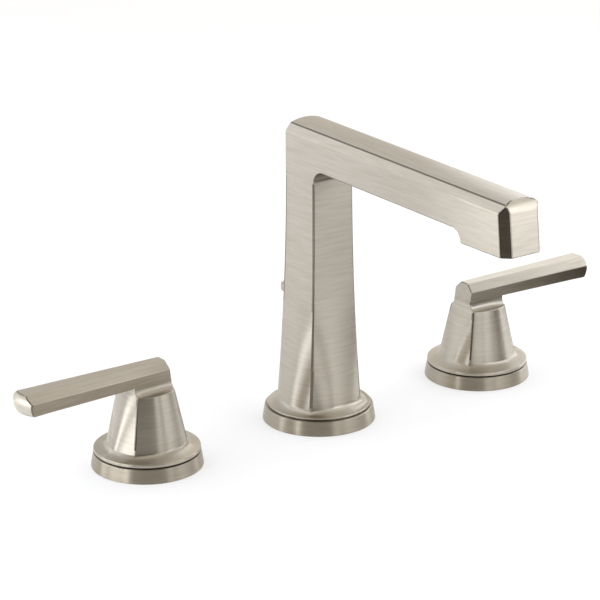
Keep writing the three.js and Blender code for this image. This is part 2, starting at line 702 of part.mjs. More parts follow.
function liftRodKnob() {
  const bottom = KNOB_UNDERSIDE - KNOB_NECK_HEIGHT;
  const top = KNOB_UNDERSIDE + KNOB_HEIGHT;
  const knob = turned([
    [0, bottom],
    [KNOB_NECK_RADIUS, bottom],
    [KNOB_NECK_RADIUS, KNOB_UNDERSIDE],
    [KNOB_RADIUS - KNOB_EDGE, KNOB_UNDERSIDE],
    [KNOB_RADIUS, KNOB_UNDERSIDE + KNOB_EDGE],
    [KNOB_RADIUS, top - KNOB_EDGE / 2],
    [KNOB_RADIUS - KNOB_EDGE / 2, top],
    [0, top],
  ]);
  const socket = rod(ROD_RADIUS + SEAT_GAP, bottom - OVERRUN, KNOB_UNDERSIDE, SCREW_SIDES);
  return knob.subtract(socket).translate([0, ROD_BACK, 0]);
}

function liftRodGuide() {
  const bore = ROD_RADIUS + ROD_CLEARANCE;
  const guide = tube(GUIDE_RADIUS, bore, FOOT_BOTTOM, FOOT_BOTTOM + GUIDE_HEIGHT, SCREW_SIDES);
  return guide.translate([0, ROD_BACK, 0]);
}

// Handle: hub, neck and lever in one piece. Its lever runs along +X from the hub's axis.

function hubPlan(height) {
  const upShare = (height - HUB_FOOT_HEIGHT) / (HUB_TOP_HEIGHT - HUB_FOOT_HEIGHT);
  const halfDepth = THREE.MathUtils.lerp(HUB_FOOT_HALF_DEPTH, HUB_TOP_HALF_DEPTH, upShare);
  const sideBowShare = Math.max(0, 1 - upShare) ** SIDE_BOW_POWER;
  return bellPlan({
    halfWidth: THREE.MathUtils.lerp(HUB_FOOT_HALF_WIDTH, HUB_TOP_HALF_WIDTH, upShare),
    front: halfDepth,
    rear: halfDepth,
    sideBow: THREE.MathUtils.lerp(HUB_TOP_SIDE_BOW, HUB_FOOT_SIDE_BOW, sideBowShare),
    frontBow: THREE.MathUtils.lerp(HUB_FOOT_FRONT_BOW, HUB_TOP_FRONT_BOW, upShare),
  });
}

function hubSolid() {
  const footPlan = hubPlan(HUB_FOOT_HEIGHT);
  const rimTop = HUB_BOTTOM + HUB_RIM_HEIGHT;
  const rings = [
    ringAt(roundPlan(footPlan, HUB_DISC_RADIUS), HUB_BOTTOM),
    ...flareRings(footPlan, HUB_DISC_RADIUS, rimTop, HUB_FOOT_HEIGHT),
  ];
  for (let i = 0; i <= HUB_STEPS; i += 1) {
    const height = THREE.MathUtils.lerp(HUB_FOOT_HEIGHT, HUB_TOP_HEIGHT, i / HUB_STEPS);
    rings.push(ringAt(hubPlan(height), height));
  }
  return loft(rings);
}

// Half width of the lever's foot at a distance from the hub's axis
function leverHalfFoot(x) {
  const share = (x - LEVER_START) / (LEVER_REACH - LEVER_START);
  return THREE.MathUtils.lerp(LEVER_INNER_HALF_WIDTH, LEVER_OUTER_HALF_FOOT, share);
}

// Plan of the neck: the lip of the hub where outShare is 1, the lever's own width where it is 0
function neckPlan(outShare) {
  const outer = HUB_TOP_HALF_WIDTH - BLEND_INSET;
  const halfDepth = HUB_TOP_HALF_DEPTH - BLEND_INSET;
  const plan = bellPlan({
    halfWidth: (outer - LEVER_START) / 2,
    front: halfDepth,
    rear: halfDepth,
    sideBow: HUB_TOP_SIDE_BOW * outShare,
    frontBow: NECK_LIP_BOW * outShare,
  });
  return plan.map(([x, y]) => {
    const along = x + (outer + LEVER_START) / 2;
    const drawnShare = (leverHalfFoot(along) - BLEND_INSET) / halfDepth;
    return [along, y * THREE.MathUtils.lerp(drawnShare, 1, outShare)];
  });
}

// Neck above the hub: a lip below, drawn in by a cove to the lever's width above
function neckSolid() {
  const sweepAngle = THREE.MathUtils.degToRad(COVE_SWEEP);
  const rings = [ringAt(neckPlan(1), HUB_TOP_HEIGHT - OVERRUN)];
  for (let i = 0; i <= COVE_STEPS; i += 1) {
    const angle = sweepAngle * (1 - i / COVE_STEPS);
    const outShare = (1 - Math.cos(angle)) / (1 - Math.cos(sweepAngle));
    const downShare = Math.sin(angle) / Math.sin(sweepAngle);
    const height = THREE.MathUtils.lerp(COVE_TOP, HUB_TOP_HEIGHT, downShare);
    rings.push(ringAt(neckPlan(outShare), height));
  }
  rings.push(ringAt(neckPlan(0), LEVER_INNER_UNDERSIDE + OVERRUN));
  return loft(rings);
}

// Six-sided section of the lever in Y and Z, seen from its outer end
function leverSection(x, underside, halfFoot, halfRidge, halfTop) {
  return [
    new THREE.Vector3(x, -halfFoot, underside),
    new THREE.Vector3(x, halfFoot, underside),
    new THREE.Vector3(x, halfRidge, LEVER_RIDGE),
    new THREE.Vector3(x, halfTop, LEVER_TOP),
    new THREE.Vector3(x, -halfTop, LEVER_TOP),
    new THREE.Vector3(x, -halfRidge, LEVER_RIDGE),
  ];
}

function leverSolid() {
  const halfWidth = LEVER_INNER_HALF_WIDTH;
  const halfFoot = LEVER_OUTER_HALF_FOOT;
  return loft([
    leverSection(LEVER_START, LEVER_INNER_UNDERSIDE, halfWidth, halfWidth, LEVER_INNER_HALF_TOP),
    leverSection(LEVER_REACH, LEVER_OUTER_UNDERSIDE, halfFoot, LEVER_OUTER_HALF_RIDGE, LEVER_OUTER_HALF_TOP),
  ]);
}

// Space between the leaning face that closes the handle at its inner end and the lever's domed end
function handleEnds() {
  const wide = HUB_TOP_HALF_DEPTH + OVERRUN;
  const middle = (LEVER_TOP + LEVER_OUTER_UNDERSIDE) / 2;
  const endLevels = Array.from({ length: END_STEPS + 1 }, (_, i) => (
    THREE.MathUtils.lerp(LEVER_OUTER_UNDERSIDE, LEVER_TOP, i / END_STEPS)
  ));
  const levels = [HUB_TOP_HEIGHT - OVERRUN, HUB_TOP_HEIGHT, ...endLevels, LEVER_TOP + OVERRUN];
  return loft(levels.map((height) => {
    const share = Math.max(0, (height - HUB_TOP_HEIGHT) / (LEVER_TOP - HUB_TOP_HEIGHT));
    const inner = HUB_TOP_HALF_WIDTH - LEVER_INNER_LEAN * share - BLEND_INSET;
    const bow = HUB_TOP_SIDE_BOW * Math.max(0, 1 - share);
    const rise = (height - middle) / (LEVER_TOP - middle);
    const reach = LEVER_REACH - LEVER_END_CROWN * rise * rise;
    const innerFace = Array.from({ length: FACE_STEPS + 1 }, (_, i) => {
      const t = 1 - (2 * i) / FACE_STEPS;
      return [-inner - bow * (1 - t * t), HUB_TOP_HALF_DEPTH * t];
    });
    const dome = Array.from({ length: END_STEPS + 1 }, (_, i) => {
      const y = wide * ((2 * i) / END_STEPS - 1);
      return [reach - LEVER_END_SAG * (y / LEVER_OUTER_HALF_RIDGE) ** 2, y];
    });
    return ringAt([[-inner, wide], ...innerFace, [-inner, -wide], ...dome], height);
  }));
}

// Star-shaped outline of the splined stem, grown by a clearance for its socket
function splineOutline(clearance) {
  const points = 2 * SPLINE_TEETH;
  return Array.from({ length: points }, (_, i) => {
    const angle = (FULL_TURN * i) / points;
    const radius = SPLINE_RADIUS + clearance - (i % 2) * SPLINE_DEPTH;
    return [radius * Math.cos(angle), radius * Math.sin(angle)];
  });
}

// A rod across the hub at the set screw's height
function acrossHub(radius, from, to, sides) {
  const start = new THREE.Vector3(0, from, SET_SCREW_HEIGHT);
  const end = new THREE.Vector3(0, to, SET_SCREW_HEIGHT);
  return rodBetween(radius, start, end, sides);
}

// The screw side is 1 or -1: it keeps the set screw at the back of both handles
function handle(screwSide) {
  const top = neckSolid().add(leverSolid()).intersect(handleEnds());
  const outside = screwSide * (HUB_FOOT_HALF_DEPTH + HUB_FOOT_FRONT_BOW);
  const hollows = [
    turned([
      [0, HUB_BOTTOM - OVERRUN],
      [HUB_HOLLOW_RADIUS, HUB_BOTTOM - OVERRUN],
      [HUB_HOLLOW_RADIUS, HUB_BOTTOM],
      [HUB_HOLLOW_TOP_RADIUS, HUB_HOLLOW_TOP],
      [0, HUB_HOLLOW_TOP],
    ]),
    alongZ(splineOutline(SEAT_GAP), HUB_HOLLOW_TOP - OVERRUN, SPLINE_TOP + SEAT_GAP),
    acrossHub(SET_SCREW_RADIUS + THREAD_GAP, 0, outside, SCREW_SIDES),
  ];
  return hollows.reduce((body, hollow) => body.subtract(hollow), hubSolid().add(top));
}

function setScrew(screwSide) {
  const start = SPLINE_RADIUS + SEAT_GAP;
  const end = start + SET_SCREW_LENGTH;
  const keyStart = screwSide * (end - SET_SCREW_KEY_DEPTH);
  const keyEnd = screwSide * (end + OVERRUN);
  const key = acrossHub(SET_SCREW_KEY, keyStart, keyEnd, HEX_SIDES);
  return acrossHub(SET_SCREW_RADIUS, screwSide * start, screwSide * end, SCREW_SIDES).subtract(key);
}

// Valve under a handle. Its outlet points along -X, towards the spout.

const DISC_STACK_BOTTOM = -VALVE_SEAT + SEAT_GAP + SEAT_SEAL_HEIGHT + SEAT_GAP;
const MOVING_DISC_BOTTOM = DISC_STACK_BOTTOM + DISC_HEIGHT + SEAT_GAP;
const STEM_BOTTOM = MOVING_DISC_BOTTOM + DISC_HEIGHT + SEAT_GAP;
const HOUSING_SHOULDER = VALVE_TOP - VALVE_THREAD_DEPTH;

function waterHole(x, bottom, top) {
  return rod(WATER_HOLE_RADIUS, bottom, top, SCREW_SIDES).translate([x, 0, 0]);
}

function valveBody() {
  const inletEnd = -VALVE_BOTTOM - INLET_LENGTH;
  const outletStart = new THREE.Vector3(-WATER_HOLE_OFFSET, 0, -OUTLET_DROP);
  const outletEnd = new THREE.Vector3(-OUTLET_REACH, 0, -OUTLET_DROP);
  const over = new THREE.Vector3(OVERRUN, 0, 0);
  const barrel = rod(VALVE_RADIUS, -VALVE_BOTTOM, VALVE_TOP);
  const inlet = rod(INLET_RADIUS, inletEnd, -VALVE_BOTTOM + OVERRUN);
  const outlet = rodBetween(OUTLET_RADIUS, outletStart, outletEnd);
  const cuts = [
    rod(VALVE_BORE, -VALVE_SEAT, VALVE_TOP + OVERRUN),
    rod(VALVE_THREAD_BORE, HOUSING_SHOULDER, VALVE_TOP + OVERRUN),
    rod(INLET_BORE, inletEnd - OVERRUN, -VALVE_BOTTOM),
    waterHole(WATER_HOLE_OFFSET, -VALVE_BOTTOM - OVERRUN, -VALVE_SEAT + OVERRUN),
    waterHole(-WATER_HOLE_OFFSET, -OUTLET_DROP, -VALVE_SEAT + OVERRUN),
    rodBetween(OUTLET_BORE, outletStart, outletEnd.clone().sub(over), SCREW_SIDES),
  ];
  return cuts.reduce((body, cut) => body.subtract(cut), barrel.add(inlet).add(outlet));
}

function twoHoleDisc(radius, bottom, height) {
  const top = bottom + height;
  return rod(radius, bottom, top)
    .subtract(waterHole(WATER_HOLE_OFFSET, bottom - OVERRUN, top + OVERRUN))
    .subtract(waterHole(-WATER_HOLE_OFFSET, bottom - OVERRUN, top + OVERRUN));
}

function seatSeal() {
  return twoHoleDisc(VALVE_BORE - SEAT_GAP, -VALVE_SEAT + SEAT_GAP, SEAT_SEAL_HEIGHT);
}

function fixedDisc() {
  return twoHoleDisc(DISC_RADIUS, DISC_STACK_BOTTOM, DISC_HEIGHT);
}

// Its blind channel runs across the holes when the valve is shut, and joins them a quarter turn on
function movingDisc() {
  const halfWidth = WATER_HOLE_RADIUS;
  const halfLength = WATER_HOLE_OFFSET + WATER_HOLE_RADIUS;
  const outline = [
    [-halfWidth, -halfLength],
    [halfWidth, -halfLength],
    [halfWidth, halfLength],
    [-halfWidth, halfLength],
  ];
  const channel = alongZ(outline, MOVING_DISC_BOTTOM - OVERRUN, MOVING_DISC_BOTTOM + DISC_HEIGHT / 2);
  return rod(DISC_RADIUS, MOVING_DISC_BOTTOM, MOVING_DISC_BOTTOM + DISC_HEIGHT).subtract(channel);
}

function stem() {
  const flange = rod(DISC_RADIUS - SEAT_GAP, STEM_BOTTOM, STEM_BOTTOM + STEM_FLANGE_HEIGHT);
  const shaft = rod(STEM_RADIUS, STEM_BOTTOM + STEM_FLANGE_HEIGHT / 2, SPLINE_TOP - SPLINE_LENGTH + OVERRUN);
  return flange.add(shaft).add(alongZ(splineOutline(0), SPLINE_TOP - SPLINE_LENGTH, SPLINE_TOP));
}

// Cup that holds the discs, with a neck round the stem
function cartridgeHousing() {
  const outer = VALVE_BORE - SEAT_GAP;
  const cupTop = HOUSING_SHOULDER - SEAT_GAP;
  const ceiling = STEM_BOTTOM + STEM_FLANGE_HEIGHT + SEAT_GAP;
  return turned([
    [outer - HOUSING_WALL, DISC_STACK_BOTTOM],
    [outer, DISC_STACK_BOTTOM],
    [outer, cupTop],
    [HOUSING_NECK_RADIUS, cupTop],
    [HOUSING_NECK_RADIUS, HOUSING_TOP],
    [STEM_RADIUS + SEAT_GAP, HOUSING_TOP],
    [STEM_RADIUS + SEAT_GAP, ceiling],
    [outer - HOUSING_WALL, ceiling],
    [outer - HOUSING_WALL, DISC_STACK_BOTTOM],
  ]);
}

function flangeNut() {
  const bottom = HANDLE_RING_HEIGHT + SEAT_GAP;
  return tube(FLANGE_NUT_RADIUS, VALVE_RADIUS + THREAD_GAP, bottom, bottom + FLANGE_NUT_HEIGHT);
}

function bonnetNut() {
  const headBottom = VALVE_TOP + SEAT_GAP;
  const thread = rod(VALVE_THREAD_BORE - THREAD_GAP, HOUSING_SHOULDER, headBottom + OVERRUN);
  const head = hexagon(BONNET_RADIUS, headBottom, headBottom + BONNET_HEIGHT);
  const boreTop = headBottom + BONNET_HEIGHT + OVERRUN;
  const bore = rod(HOUSING_NECK_RADIUS + SEAT_GAP, HOUSING_SHOULDER - OVERRUN, boreTop);
  return thread.add(head).subtract(bore);
}

// Materials

const FINISHES = {
  brushedNickel: { color: 0xa79e8e, roughness: 0.34, metalness: 1 },
  brass: { color: 0xb5934a, roughness: 0.4, metalness: 1 },
  steel: { color: 0x9a9a98, roughness: 0.35, metalness: 1 },
  ceramic: { color: 0xe9e6de, roughness: 0.25, metalness: 0 },
  blackNylon: { color: 0x161514, roughness: 0.55, metalness: 0 },
  whitePlastic: { color: 0xd8d6cf, roughness: 0.5, metalness: 0 },
  rubber: { color: 0x202020, roughness: 0.9, metalness: 0 },
  clearTube: { color: 0xc9c6bb, roughness: 0.45, metalness: 0 },
};

function piece(name, solid, finish) {
  const mesh = new THREE.Mesh(geometryOf(solid), new THREE.MeshStandardMaterial(FINISHES[finish]));
  mesh.name = name;
  return mesh;
}

// Spout unit

function spoutUnit() {
  const group = new THREE.Group();
  const ringBore = SHANK_RADIUS + THREAD_GAP;
  const ring = baseRing(SPOUT_RING_RADIUS, SPOUT_RING_TOP_RADIUS, SPOUT_RING_HEIGHT, ringBore);
  const gasket = baseGasket(SPOUT_RING_RADIUS, SPOUT_RING_HEIGHT, ringBore);
  const passage = rodPassage(-OVERRUN, SPOUT_RING_HEIGHT + OVERRUN);
  const washer = rubberWasher(SHANK_RADIUS).subtract(rodNotch(CLAMP_WASHER_TOP, 0));
  const clamp = clampWasher(SHANK_RADIUS).subtract(rodNotch(NUT_TOP, 0));
  group.add(
    piece('spout_body', spoutBody(), 'brushedNickel'),
    piece('spout_base_ring', ring.subtract(passage), 'brushedNickel'),
    piece('spout_gasket', gasket.subtract(passage), 'rubber'),
    piece('spout_shank', spoutShank(), 'brass'),
    piece('waterway_tube', waterwayTube(), 'clearTube'),
    piece('aerator_gasket', aeratorGasket(), 'rubber'),
    piece('aerator_housing', aeratorHousing(), 'brushedNickel'),
    piece('aerator_insert', aeratorInsert(), 'whitePlastic'),
    piece('spout_rubber_washer', washer, 'rubber'),
    piece('spout_clamp_washer', clamp, 'steel'),
    piece('spout_mounting_nut', mountingNut(SHANK_RADIUS, SPOUT_NUT_RADIUS), 'brass'),
    piece('spout_tee', spoutTee(), 'blackNylon'),
    piece('spout_tee_seal', spoutTeeSeal(), 'rubber'),
    piece('lift_rod', liftRod(), 'brushedNickel'),
    piece('lift_rod_knob', liftRodKnob(), 'brushedNickel'),
    piece('lift_rod_guide', liftRodGuide(), 'blackNylon'),
  );
  return group;
}

// Handle unit for one side: 1 is the right, cold side, and -1 the left, hot side, a half turn round

function handleUnit(prefix, side) {
  const group = new THREE.Group();
  const ringBore = VALVE_RADIUS + THREAD_GAP;
  const ring = baseRing(HANDLE_RING_RADIUS, HANDLE_RING_TOP_RADIUS, HANDLE_RING_HEIGHT, ringBore);
  const gasket = baseGasket(HANDLE_RING_RADIUS, HANDLE_RING_HEIGHT, ringBore);
  group.add(
    piece(`${prefix}_handle`, handle(side), 'brushedNickel'),
    piece(`${prefix}_set_screw`, setScrew(side), 'steel'),
    piece(`${prefix}_flange_nut`, flangeNut(), 'brass'),
    piece(`${prefix}_glide_ring`, glideRing(), 'blackNylon'),
    piece(`${prefix}_base_ring`, ring.subtract(glideGroove()), 'brushedNickel'),
    piece(`${prefix}_gasket`, gasket, 'rubber'),
    piece(`${prefix}_valve_body`, valveBody(), 'brass'),
    piece(`${prefix}_seat_seal`, seatSeal(), 'rubber'),
    piece(`${prefix}_fixed_disc`, fixedDisc(), 'ceramic'),
    piece(`${prefix}_moving_disc`, movingDisc(), 'ceramic'),
    piece(`${prefix}_stem`, stem(), 'brass'),
    piece(`${prefix}_cartridge_housing`, cartridgeHousing(), 'whitePlastic'),
    piece(`${prefix}_bonnet_nut`, bonnetNut(), 'brass'),
    piece(`${prefix}_rubber_washer`, rubberWasher(VALVE_RADIUS), 'rubber'),
    piece(`${prefix}_clamp_washer`, clampWasher(VALVE_RADIUS), 'steel'),
    piece(`${prefix}_mounting_nut`, mountingNut(VALVE_RADIUS, VALVE_NUT_RADIUS), 'brass'),
  );
  group.position.x = (side * HANDLE_CENTRES) / 2;
  group.rotation.z = side > 0 ? 0 : Math.PI;
  return group;
}

const faucet = new THREE.Group();
faucet.add(spoutUnit(), handleUnit('right', 1), handleUnit('left', -1));

export default faucet;
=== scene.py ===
import math

import bmesh
import bpy
from mathutils import Matrix, Vector


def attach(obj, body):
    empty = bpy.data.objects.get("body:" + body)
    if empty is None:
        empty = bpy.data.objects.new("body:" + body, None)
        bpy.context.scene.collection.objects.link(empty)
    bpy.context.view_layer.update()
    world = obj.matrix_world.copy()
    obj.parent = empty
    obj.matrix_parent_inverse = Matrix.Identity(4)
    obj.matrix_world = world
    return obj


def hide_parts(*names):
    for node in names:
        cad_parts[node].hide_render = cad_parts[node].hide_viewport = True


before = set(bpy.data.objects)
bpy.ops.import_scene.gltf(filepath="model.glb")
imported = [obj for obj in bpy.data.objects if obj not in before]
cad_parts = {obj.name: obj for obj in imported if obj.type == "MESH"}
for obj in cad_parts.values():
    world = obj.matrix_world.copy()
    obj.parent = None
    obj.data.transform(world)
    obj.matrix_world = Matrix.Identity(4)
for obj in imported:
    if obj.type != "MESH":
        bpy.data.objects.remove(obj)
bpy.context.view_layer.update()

# Every size below is in millimetres, as in the CAD source, and MM turns it into metres.
MM = 0.001
RIGHT_HANDLE_X = 101.6
# How far a cutter runs past what it cuts, and how far a turned profile is kept off its axis.
OVERRUN = 2.0
AXIS_GAP = 0.001
SMOOTH_ANGLE = math.radians(33)
FLAT_FACE_WEIGHT = 60
FACE_STEPS = 20
CORNER_STEPS = 5
FLARE_STEPS = 14
EDGE_STEPS = 3
FINE_SIDES = 128
PORT_SIDES = 64
ROD_SIDES = 48
SCREW_HOLE_SIDES = 32
SMALL_SIDES = 24
# Rounds: first and last angle in degrees, and steps.
RIM_LOWER_ROUND = (-60, 0, 3)
RIM_UPPER_ROUND = (0, 75, 4)
LIP_ROUND = (30, 90, 2)
FOOT_ROUND = (-80, 80, 6)


# Mesh helpers

def lerp(a, b, share):
    return a + (b - a) * share


def new_object(name, points, faces):
    mesh = bpy.data.meshes.new(name)
    mesh.from_pydata([Vector(p) * MM for p in points], [], faces)
    mesh.validate()
    mesh.update()
    obj = bpy.data.objects.new(name, mesh)
    bpy.context.scene.collection.objects.link(obj)
    return obj


def finish_mesh(obj):
    """Smooth shading with sharp edges past an angle, and normals that keep flat faces flat."""
    obj.data.shade_smooth()
    obj.data.set_sharp_from_angle(angle=SMOOTH_ANGLE)
    weighted = obj.modifiers.new("flat_faces", "WEIGHTED_NORMAL")
    weighted.keep_sharp = True
    weighted.weight = FLAT_FACE_WEIGHT
    return obj


def apply_modifiers(obj):
    graph = bpy.context.evaluated_depsgraph_get()
    graph.update()
    mesh = bpy.data.meshes.new_from_object(obj.evaluated_get(graph))
    obj.modifiers.clear()
    obj.data = mesh
    return obj


def boolean(obj, other, operation):
    cut = obj.modifiers.new("boolean", "BOOLEAN")
    cut.operation = operation
    cut.solver = "EXACT"
    cut.object = other
    apply_modifiers(obj)
    bpy.data.objects.remove(other)
    return obj


def loft(name, rings, closed=False):
    """A skin through rings of equally many points, with a face on each end or closed on itself."""
    count = len(rings[0])
    points = [p for ring in rings for p in ring]
    faces = []
    levels = len(rings) if closed else len(rings) - 1
    for level in range(levels):
        low = level * count
        high = ((level + 1) % len(rings)) * count
        for i in range(count):
            after = (i + 1) % count
            faces.append((low + i, low + after, high + after, high + i))
    if not closed:
        faces.append(tuple(reversed(range(count))))
        last = (len(rings) - 1) * count
        faces.append(tuple(last + i for i in range(count)))
    return new_object(name, points, faces)


def angles_round(sides):
    return [math.tau * i / sides for i in range(sides)]


def turned(name, profile, sides=FINE_SIDES, centre=(0, 0)):
    """A closed profile of (radius, height) pairs, turned about a vertical axis."""
    rings = []
    for angle in angles_round(sides):
        ring = []
        for radius, height in profile:
            reach = max(radius, AXIS_GAP)
            x = centre[0] + reach * math.cos(angle)
            y = centre[1] + reach * math.sin(angle)
            ring.append((x, y, height))
        rings.append(ring)
    return loft(name, rings, closed=True)


def rod(name, radius, bottom, top, sides=ROD_SIDES, centre=(0, 0)):
    rings = []
    for height in (bottom, top):
        rings.append([
            (centre[0] + radius * math.cos(angle), centre[1] + radius * math.sin(angle), height)
            for angle in angles_round(sides)
        ])
    return loft(name, rings)


def rod_along_y(name, radius, start, end, height):
    rings = []
    for y in (start, end):
        rings.append([
            (radius * math.cos(angle), y, height - radius * math.sin(angle))
            for angle in angles_round(SCREW_HOLE_SIDES)
        ])
    return loft(name, rings if end > start else rings[::-1])


def arc(centre_u, centre_v, radius, start, end, steps):
    points = []
    for i in range(steps + 1):
        angle = math.radians(lerp(start, end, i / steps))
        points.append((centre_u + radius * math.cos(angle), centre_v + radius * math.sin(angle)))
    return points


# Plans with four bowed faces. Each of the four corners is a small round.

def side_points(start, end, bow_out):
    """Points from one corner to the next, bowed out sideways, without the last one."""
    points = []
    for i in range(FACE_STEPS):
        share = i / FACE_STEPS
        t = -1 + 2 * i / FACE_STEPS
        lift = 1 - t * t
        points.append((
            lerp(start[0], end[0], share) + bow_out[0] * lift,
            lerp(start[1], end[1], share) + bow_out[1] * lift,
        ))
    return points


def round_corners(sides, radius):
    """Joins four runs of points and swaps each corner for a small curve."""
    plan = []
    for k, side in enumerate(sides):
        corner = side[0]
        before = sides[k - 1][-1]
        after = side[1]
        size_before = math.dist(corner, before)
        size_after = math.dist(corner, after)
        for i in range(CORNER_STEPS):
            t = i / (CORNER_STEPS - 1)
            reach = [radius * (1 - t) ** 2 / size_before, radius * t ** 2 / size_after]
            plan.append((
                corner[0] + (before[0] - corner[0]) * reach[0] + (after[0] - corner[0]) * reach[1],
                corner[1] + (before[1] - corner[1]) * reach[0] + (after[1] - corner[1]) * reach[1],
            ))
        plan.extend(side[1:])
    return plan


def bell_plan(half_width, front, rear, side_bow, front_bow, corner):
    corners = [(half_width, -front), (half_width, rear), (-half_width, rear), (-half_width, -front)]
    bows = [(side_bow, 0), (0, front_bow), (-side_bow, 0), (0, -front_bow)]
    sides = [side_points(corners[k], corners[(k + 1) % 4], bows[k]) for k in range(4)]
    return round_corners(sides, corner)


def at_height(plan, height):
    return [(x, y, height) for x, y in plan]


def round_plan(plan, radius):
    return [(x * radius / math.hypot(x, y), y * radius / math.hypot(x, y)) for x, y in plan]


def flare_rings(plan, disc_radius, disc_top, foot_height):
    """Rings of a concave flare, from the edge of a disc up to the foot of four faces."""
    circle = round_plan(plan, disc_radius)
    rings = []
    for i in range(FLARE_STEPS):
        angle = math.pi / 2 * (1 - i / FLARE_STEPS)
        out = 1 - math.cos(angle)
        height = foot_height - (foot_height - disc_top) * math.sin(angle)
        rings.append([
            (lerp(x, cx, out), lerp(y, cy, out), height) for (x, y), (cx, cy) in zip(plan, circle)
        ])
    return rings


def rim_rings(plan, radius, bottom, top, edge):
    """Rings of a disc's upright rim, with a small round at its lower and upper edge."""
    rim = [(radius - edge, bottom)]
    rim += arc(radius - edge, bottom + edge, edge, *RIM_LOWER_ROUND)
    rim += arc(radius - edge, top - edge, edge, *RIM_UPPER_ROUND)
    return [at_height(round_plan(plan, r), z) for r, z in rim]


# Handle. Its lever runs along +X from the hub's axis.

HANDLE_RING_HEIGHT = 6.9
HUB_BOTTOM = 7.6
HUB_DISC_RADIUS = 25.6
HUB_RIM_TOP = 9.4
HUB_RIM_EDGE = 0.45
HUB_FOOT_HEIGHT = 12.0
HUB_FOOT_HALF_WIDTH = 14.9
HUB_FOOT_HALF_DEPTH = 12.4
HUB_TOP_HEIGHT = 37.9
HUB_TOP_HALF_WIDTH = 10.5
HUB_TOP_HALF_DEPTH = 9.0
HUB_FOOT_SIDE_BOW = 3.9
HUB_TOP_SIDE_BOW = 0.6
HUB_FOOT_FRONT_BOW = 4.9
HUB_TOP_FRONT_BOW = 3.4
SIDE_BOW_POWER = 1.2
HUB_CORNER = 0.55
HUB_STEPS = 16
LIP_EDGE = 0.3
NECK_LIP_BOW = 0.9
COVE_SWEEP = 62
COVE_STEPS = 10
COVE_TOP = 41.0
LEVER_START = -12.5
LEVER_INNER_UNDERSIDE = 42.4
LEVER_OUTER_UNDERSIDE = 41.2
LEVER_RIDGE = 47.4
LEVER_TOP = 51.2
LEVER_INNER_LEAN = 1.3
LEVER_INNER_HALF_TOP = 2.65
LEVER_INNER_HALF_WIDTH = 6.55
LEVER_OUTER_HALF_TOP = 4.1
LEVER_OUTER_HALF_RIDGE = 8.6
LEVER_OUTER_HALF_FOOT = 8.1
LEVER_REACH = 69.9
LEVER_END_CROWN = 1.6
LEVER_END_SAG = 3.0
LEVER_EDGE = 0.4
LEVER_END_EDGE = 0.5
LEVER_SIDE_STEPS = 5
LEVER_STEPS = 12
LEVER_INNER_SETBACK = 3
LEVER_OUTER_SETBACK = 6
# Rings of the lever's end faces, as shares of the way to the middle.
INNER_FACE_SHARES = (0.85, 0.6, 0.3, 0.0)
OUTER_FACE_SHARES = (0.0, 0.15, 0.3, 0.45, 0.6, 0.75, 0.88)
# Rings of the round at the lever's ends, drawn in and set back by shares of the edge.
END_ROUND = ((0.6, 0.06), (0.3, 0.27), (0.1, 0.6), (0.0, 1.0))
HOLLOW_RADIUS = 17.0
HOLLOW_TOP_RADIUS = 10.5
HOLLOW_TOP = 27.0
SOCKET_RADIUS = 4.3
SOCKET_TOP = 35.7
SET_SCREW_HOLE_RADIUS = 2.3
SET_SCREW_HEIGHT = 31.0
SET_SCREW_HOLE_END = 18.0


def hub_plan(height, drawn_in=0.0):
    up = (height - HUB_FOOT_HEIGHT) / (HUB_TOP_HEIGHT - HUB_FOOT_HEIGHT)
    half_depth = lerp(HUB_FOOT_HALF_DEPTH, HUB_TOP_HALF_DEPTH, up)
    bow_share = max(0.0, 1 - up) ** SIDE_BOW_POWER
    return bell_plan(
        lerp(HUB_FOOT_HALF_WIDTH, HUB_TOP_HALF_WIDTH, up),
        half_depth,
        half_depth,
        lerp(HUB_TOP_SIDE_BOW, HUB_FOOT_SIDE_BOW, bow_share),
        lerp(HUB_FOOT_FRONT_BOW, HUB_TOP_FRONT_BOW, up) - drawn_in,
        HUB_CORNER,
    )


def lever_share(x):
    return (x - LEVER_START) / (LEVER_REACH - LEVER_START)


def lever_half_foot(x):
    return lerp(LEVER_INNER_HALF_WIDTH, LEVER_OUTER_HALF_FOOT, lever_share(x))


def lever_underside(x):
    return lerp(LEVER_INNER_UNDERSIDE, LEVER_OUTER_UNDERSIDE, lever_share(x))


def inner_face(y, height):
    """X of the leaning, slightly bowed face that closes the handle at its inner end."""
    share = max(0.0, (height - HUB_TOP_HEIGHT) / (LEVER_TOP - HUB_TOP_HEIGHT))
    t = y / HUB_TOP_HALF_DEPTH
    flat = HUB_TOP_HALF_WIDTH - LEVER_INNER_LEAN * share
    return -flat - HUB_TOP_SIDE_BOW * (1 - share) * (1 - t * t)


def neck_ring(out, height):
    """The lip of the hub where out is 1, the lever's own width where it is 0."""
    half = HUB_TOP_HALF_DEPTH
    inner_corner = (inner_face(half, height), lerp(lever_half_foot(-HUB_TOP_HALF_WIDTH), half, out))
    outer_corner = (HUB_TOP_HALF_WIDTH, lerp(lever_half_foot(HUB_TOP_HALF_WIDTH), half, out))
    lip = NECK_LIP_BOW * out
    corners = [
        (outer_corner[0], -outer_corner[1]),
        outer_corner,
        inner_corner,
        (inner_corner[0], -inner_corner[1]),
    ]
    sides = [
        side_points(corners[0], corners[1], (HUB_TOP_SIDE_BOW * out, 0)),
        side_points(corners[1], corners[2], (0, lip)),
        side_points(corners[2], corners[3], (0, 0)),
        side_points(corners[3], corners[0], (0, -lip)),
    ]
    sides[2] = [(inner_face(y, height), y) for _, y in sides[2]]
    return round_corners(sides, lerp(LIP_EDGE, HUB_CORNER, out))


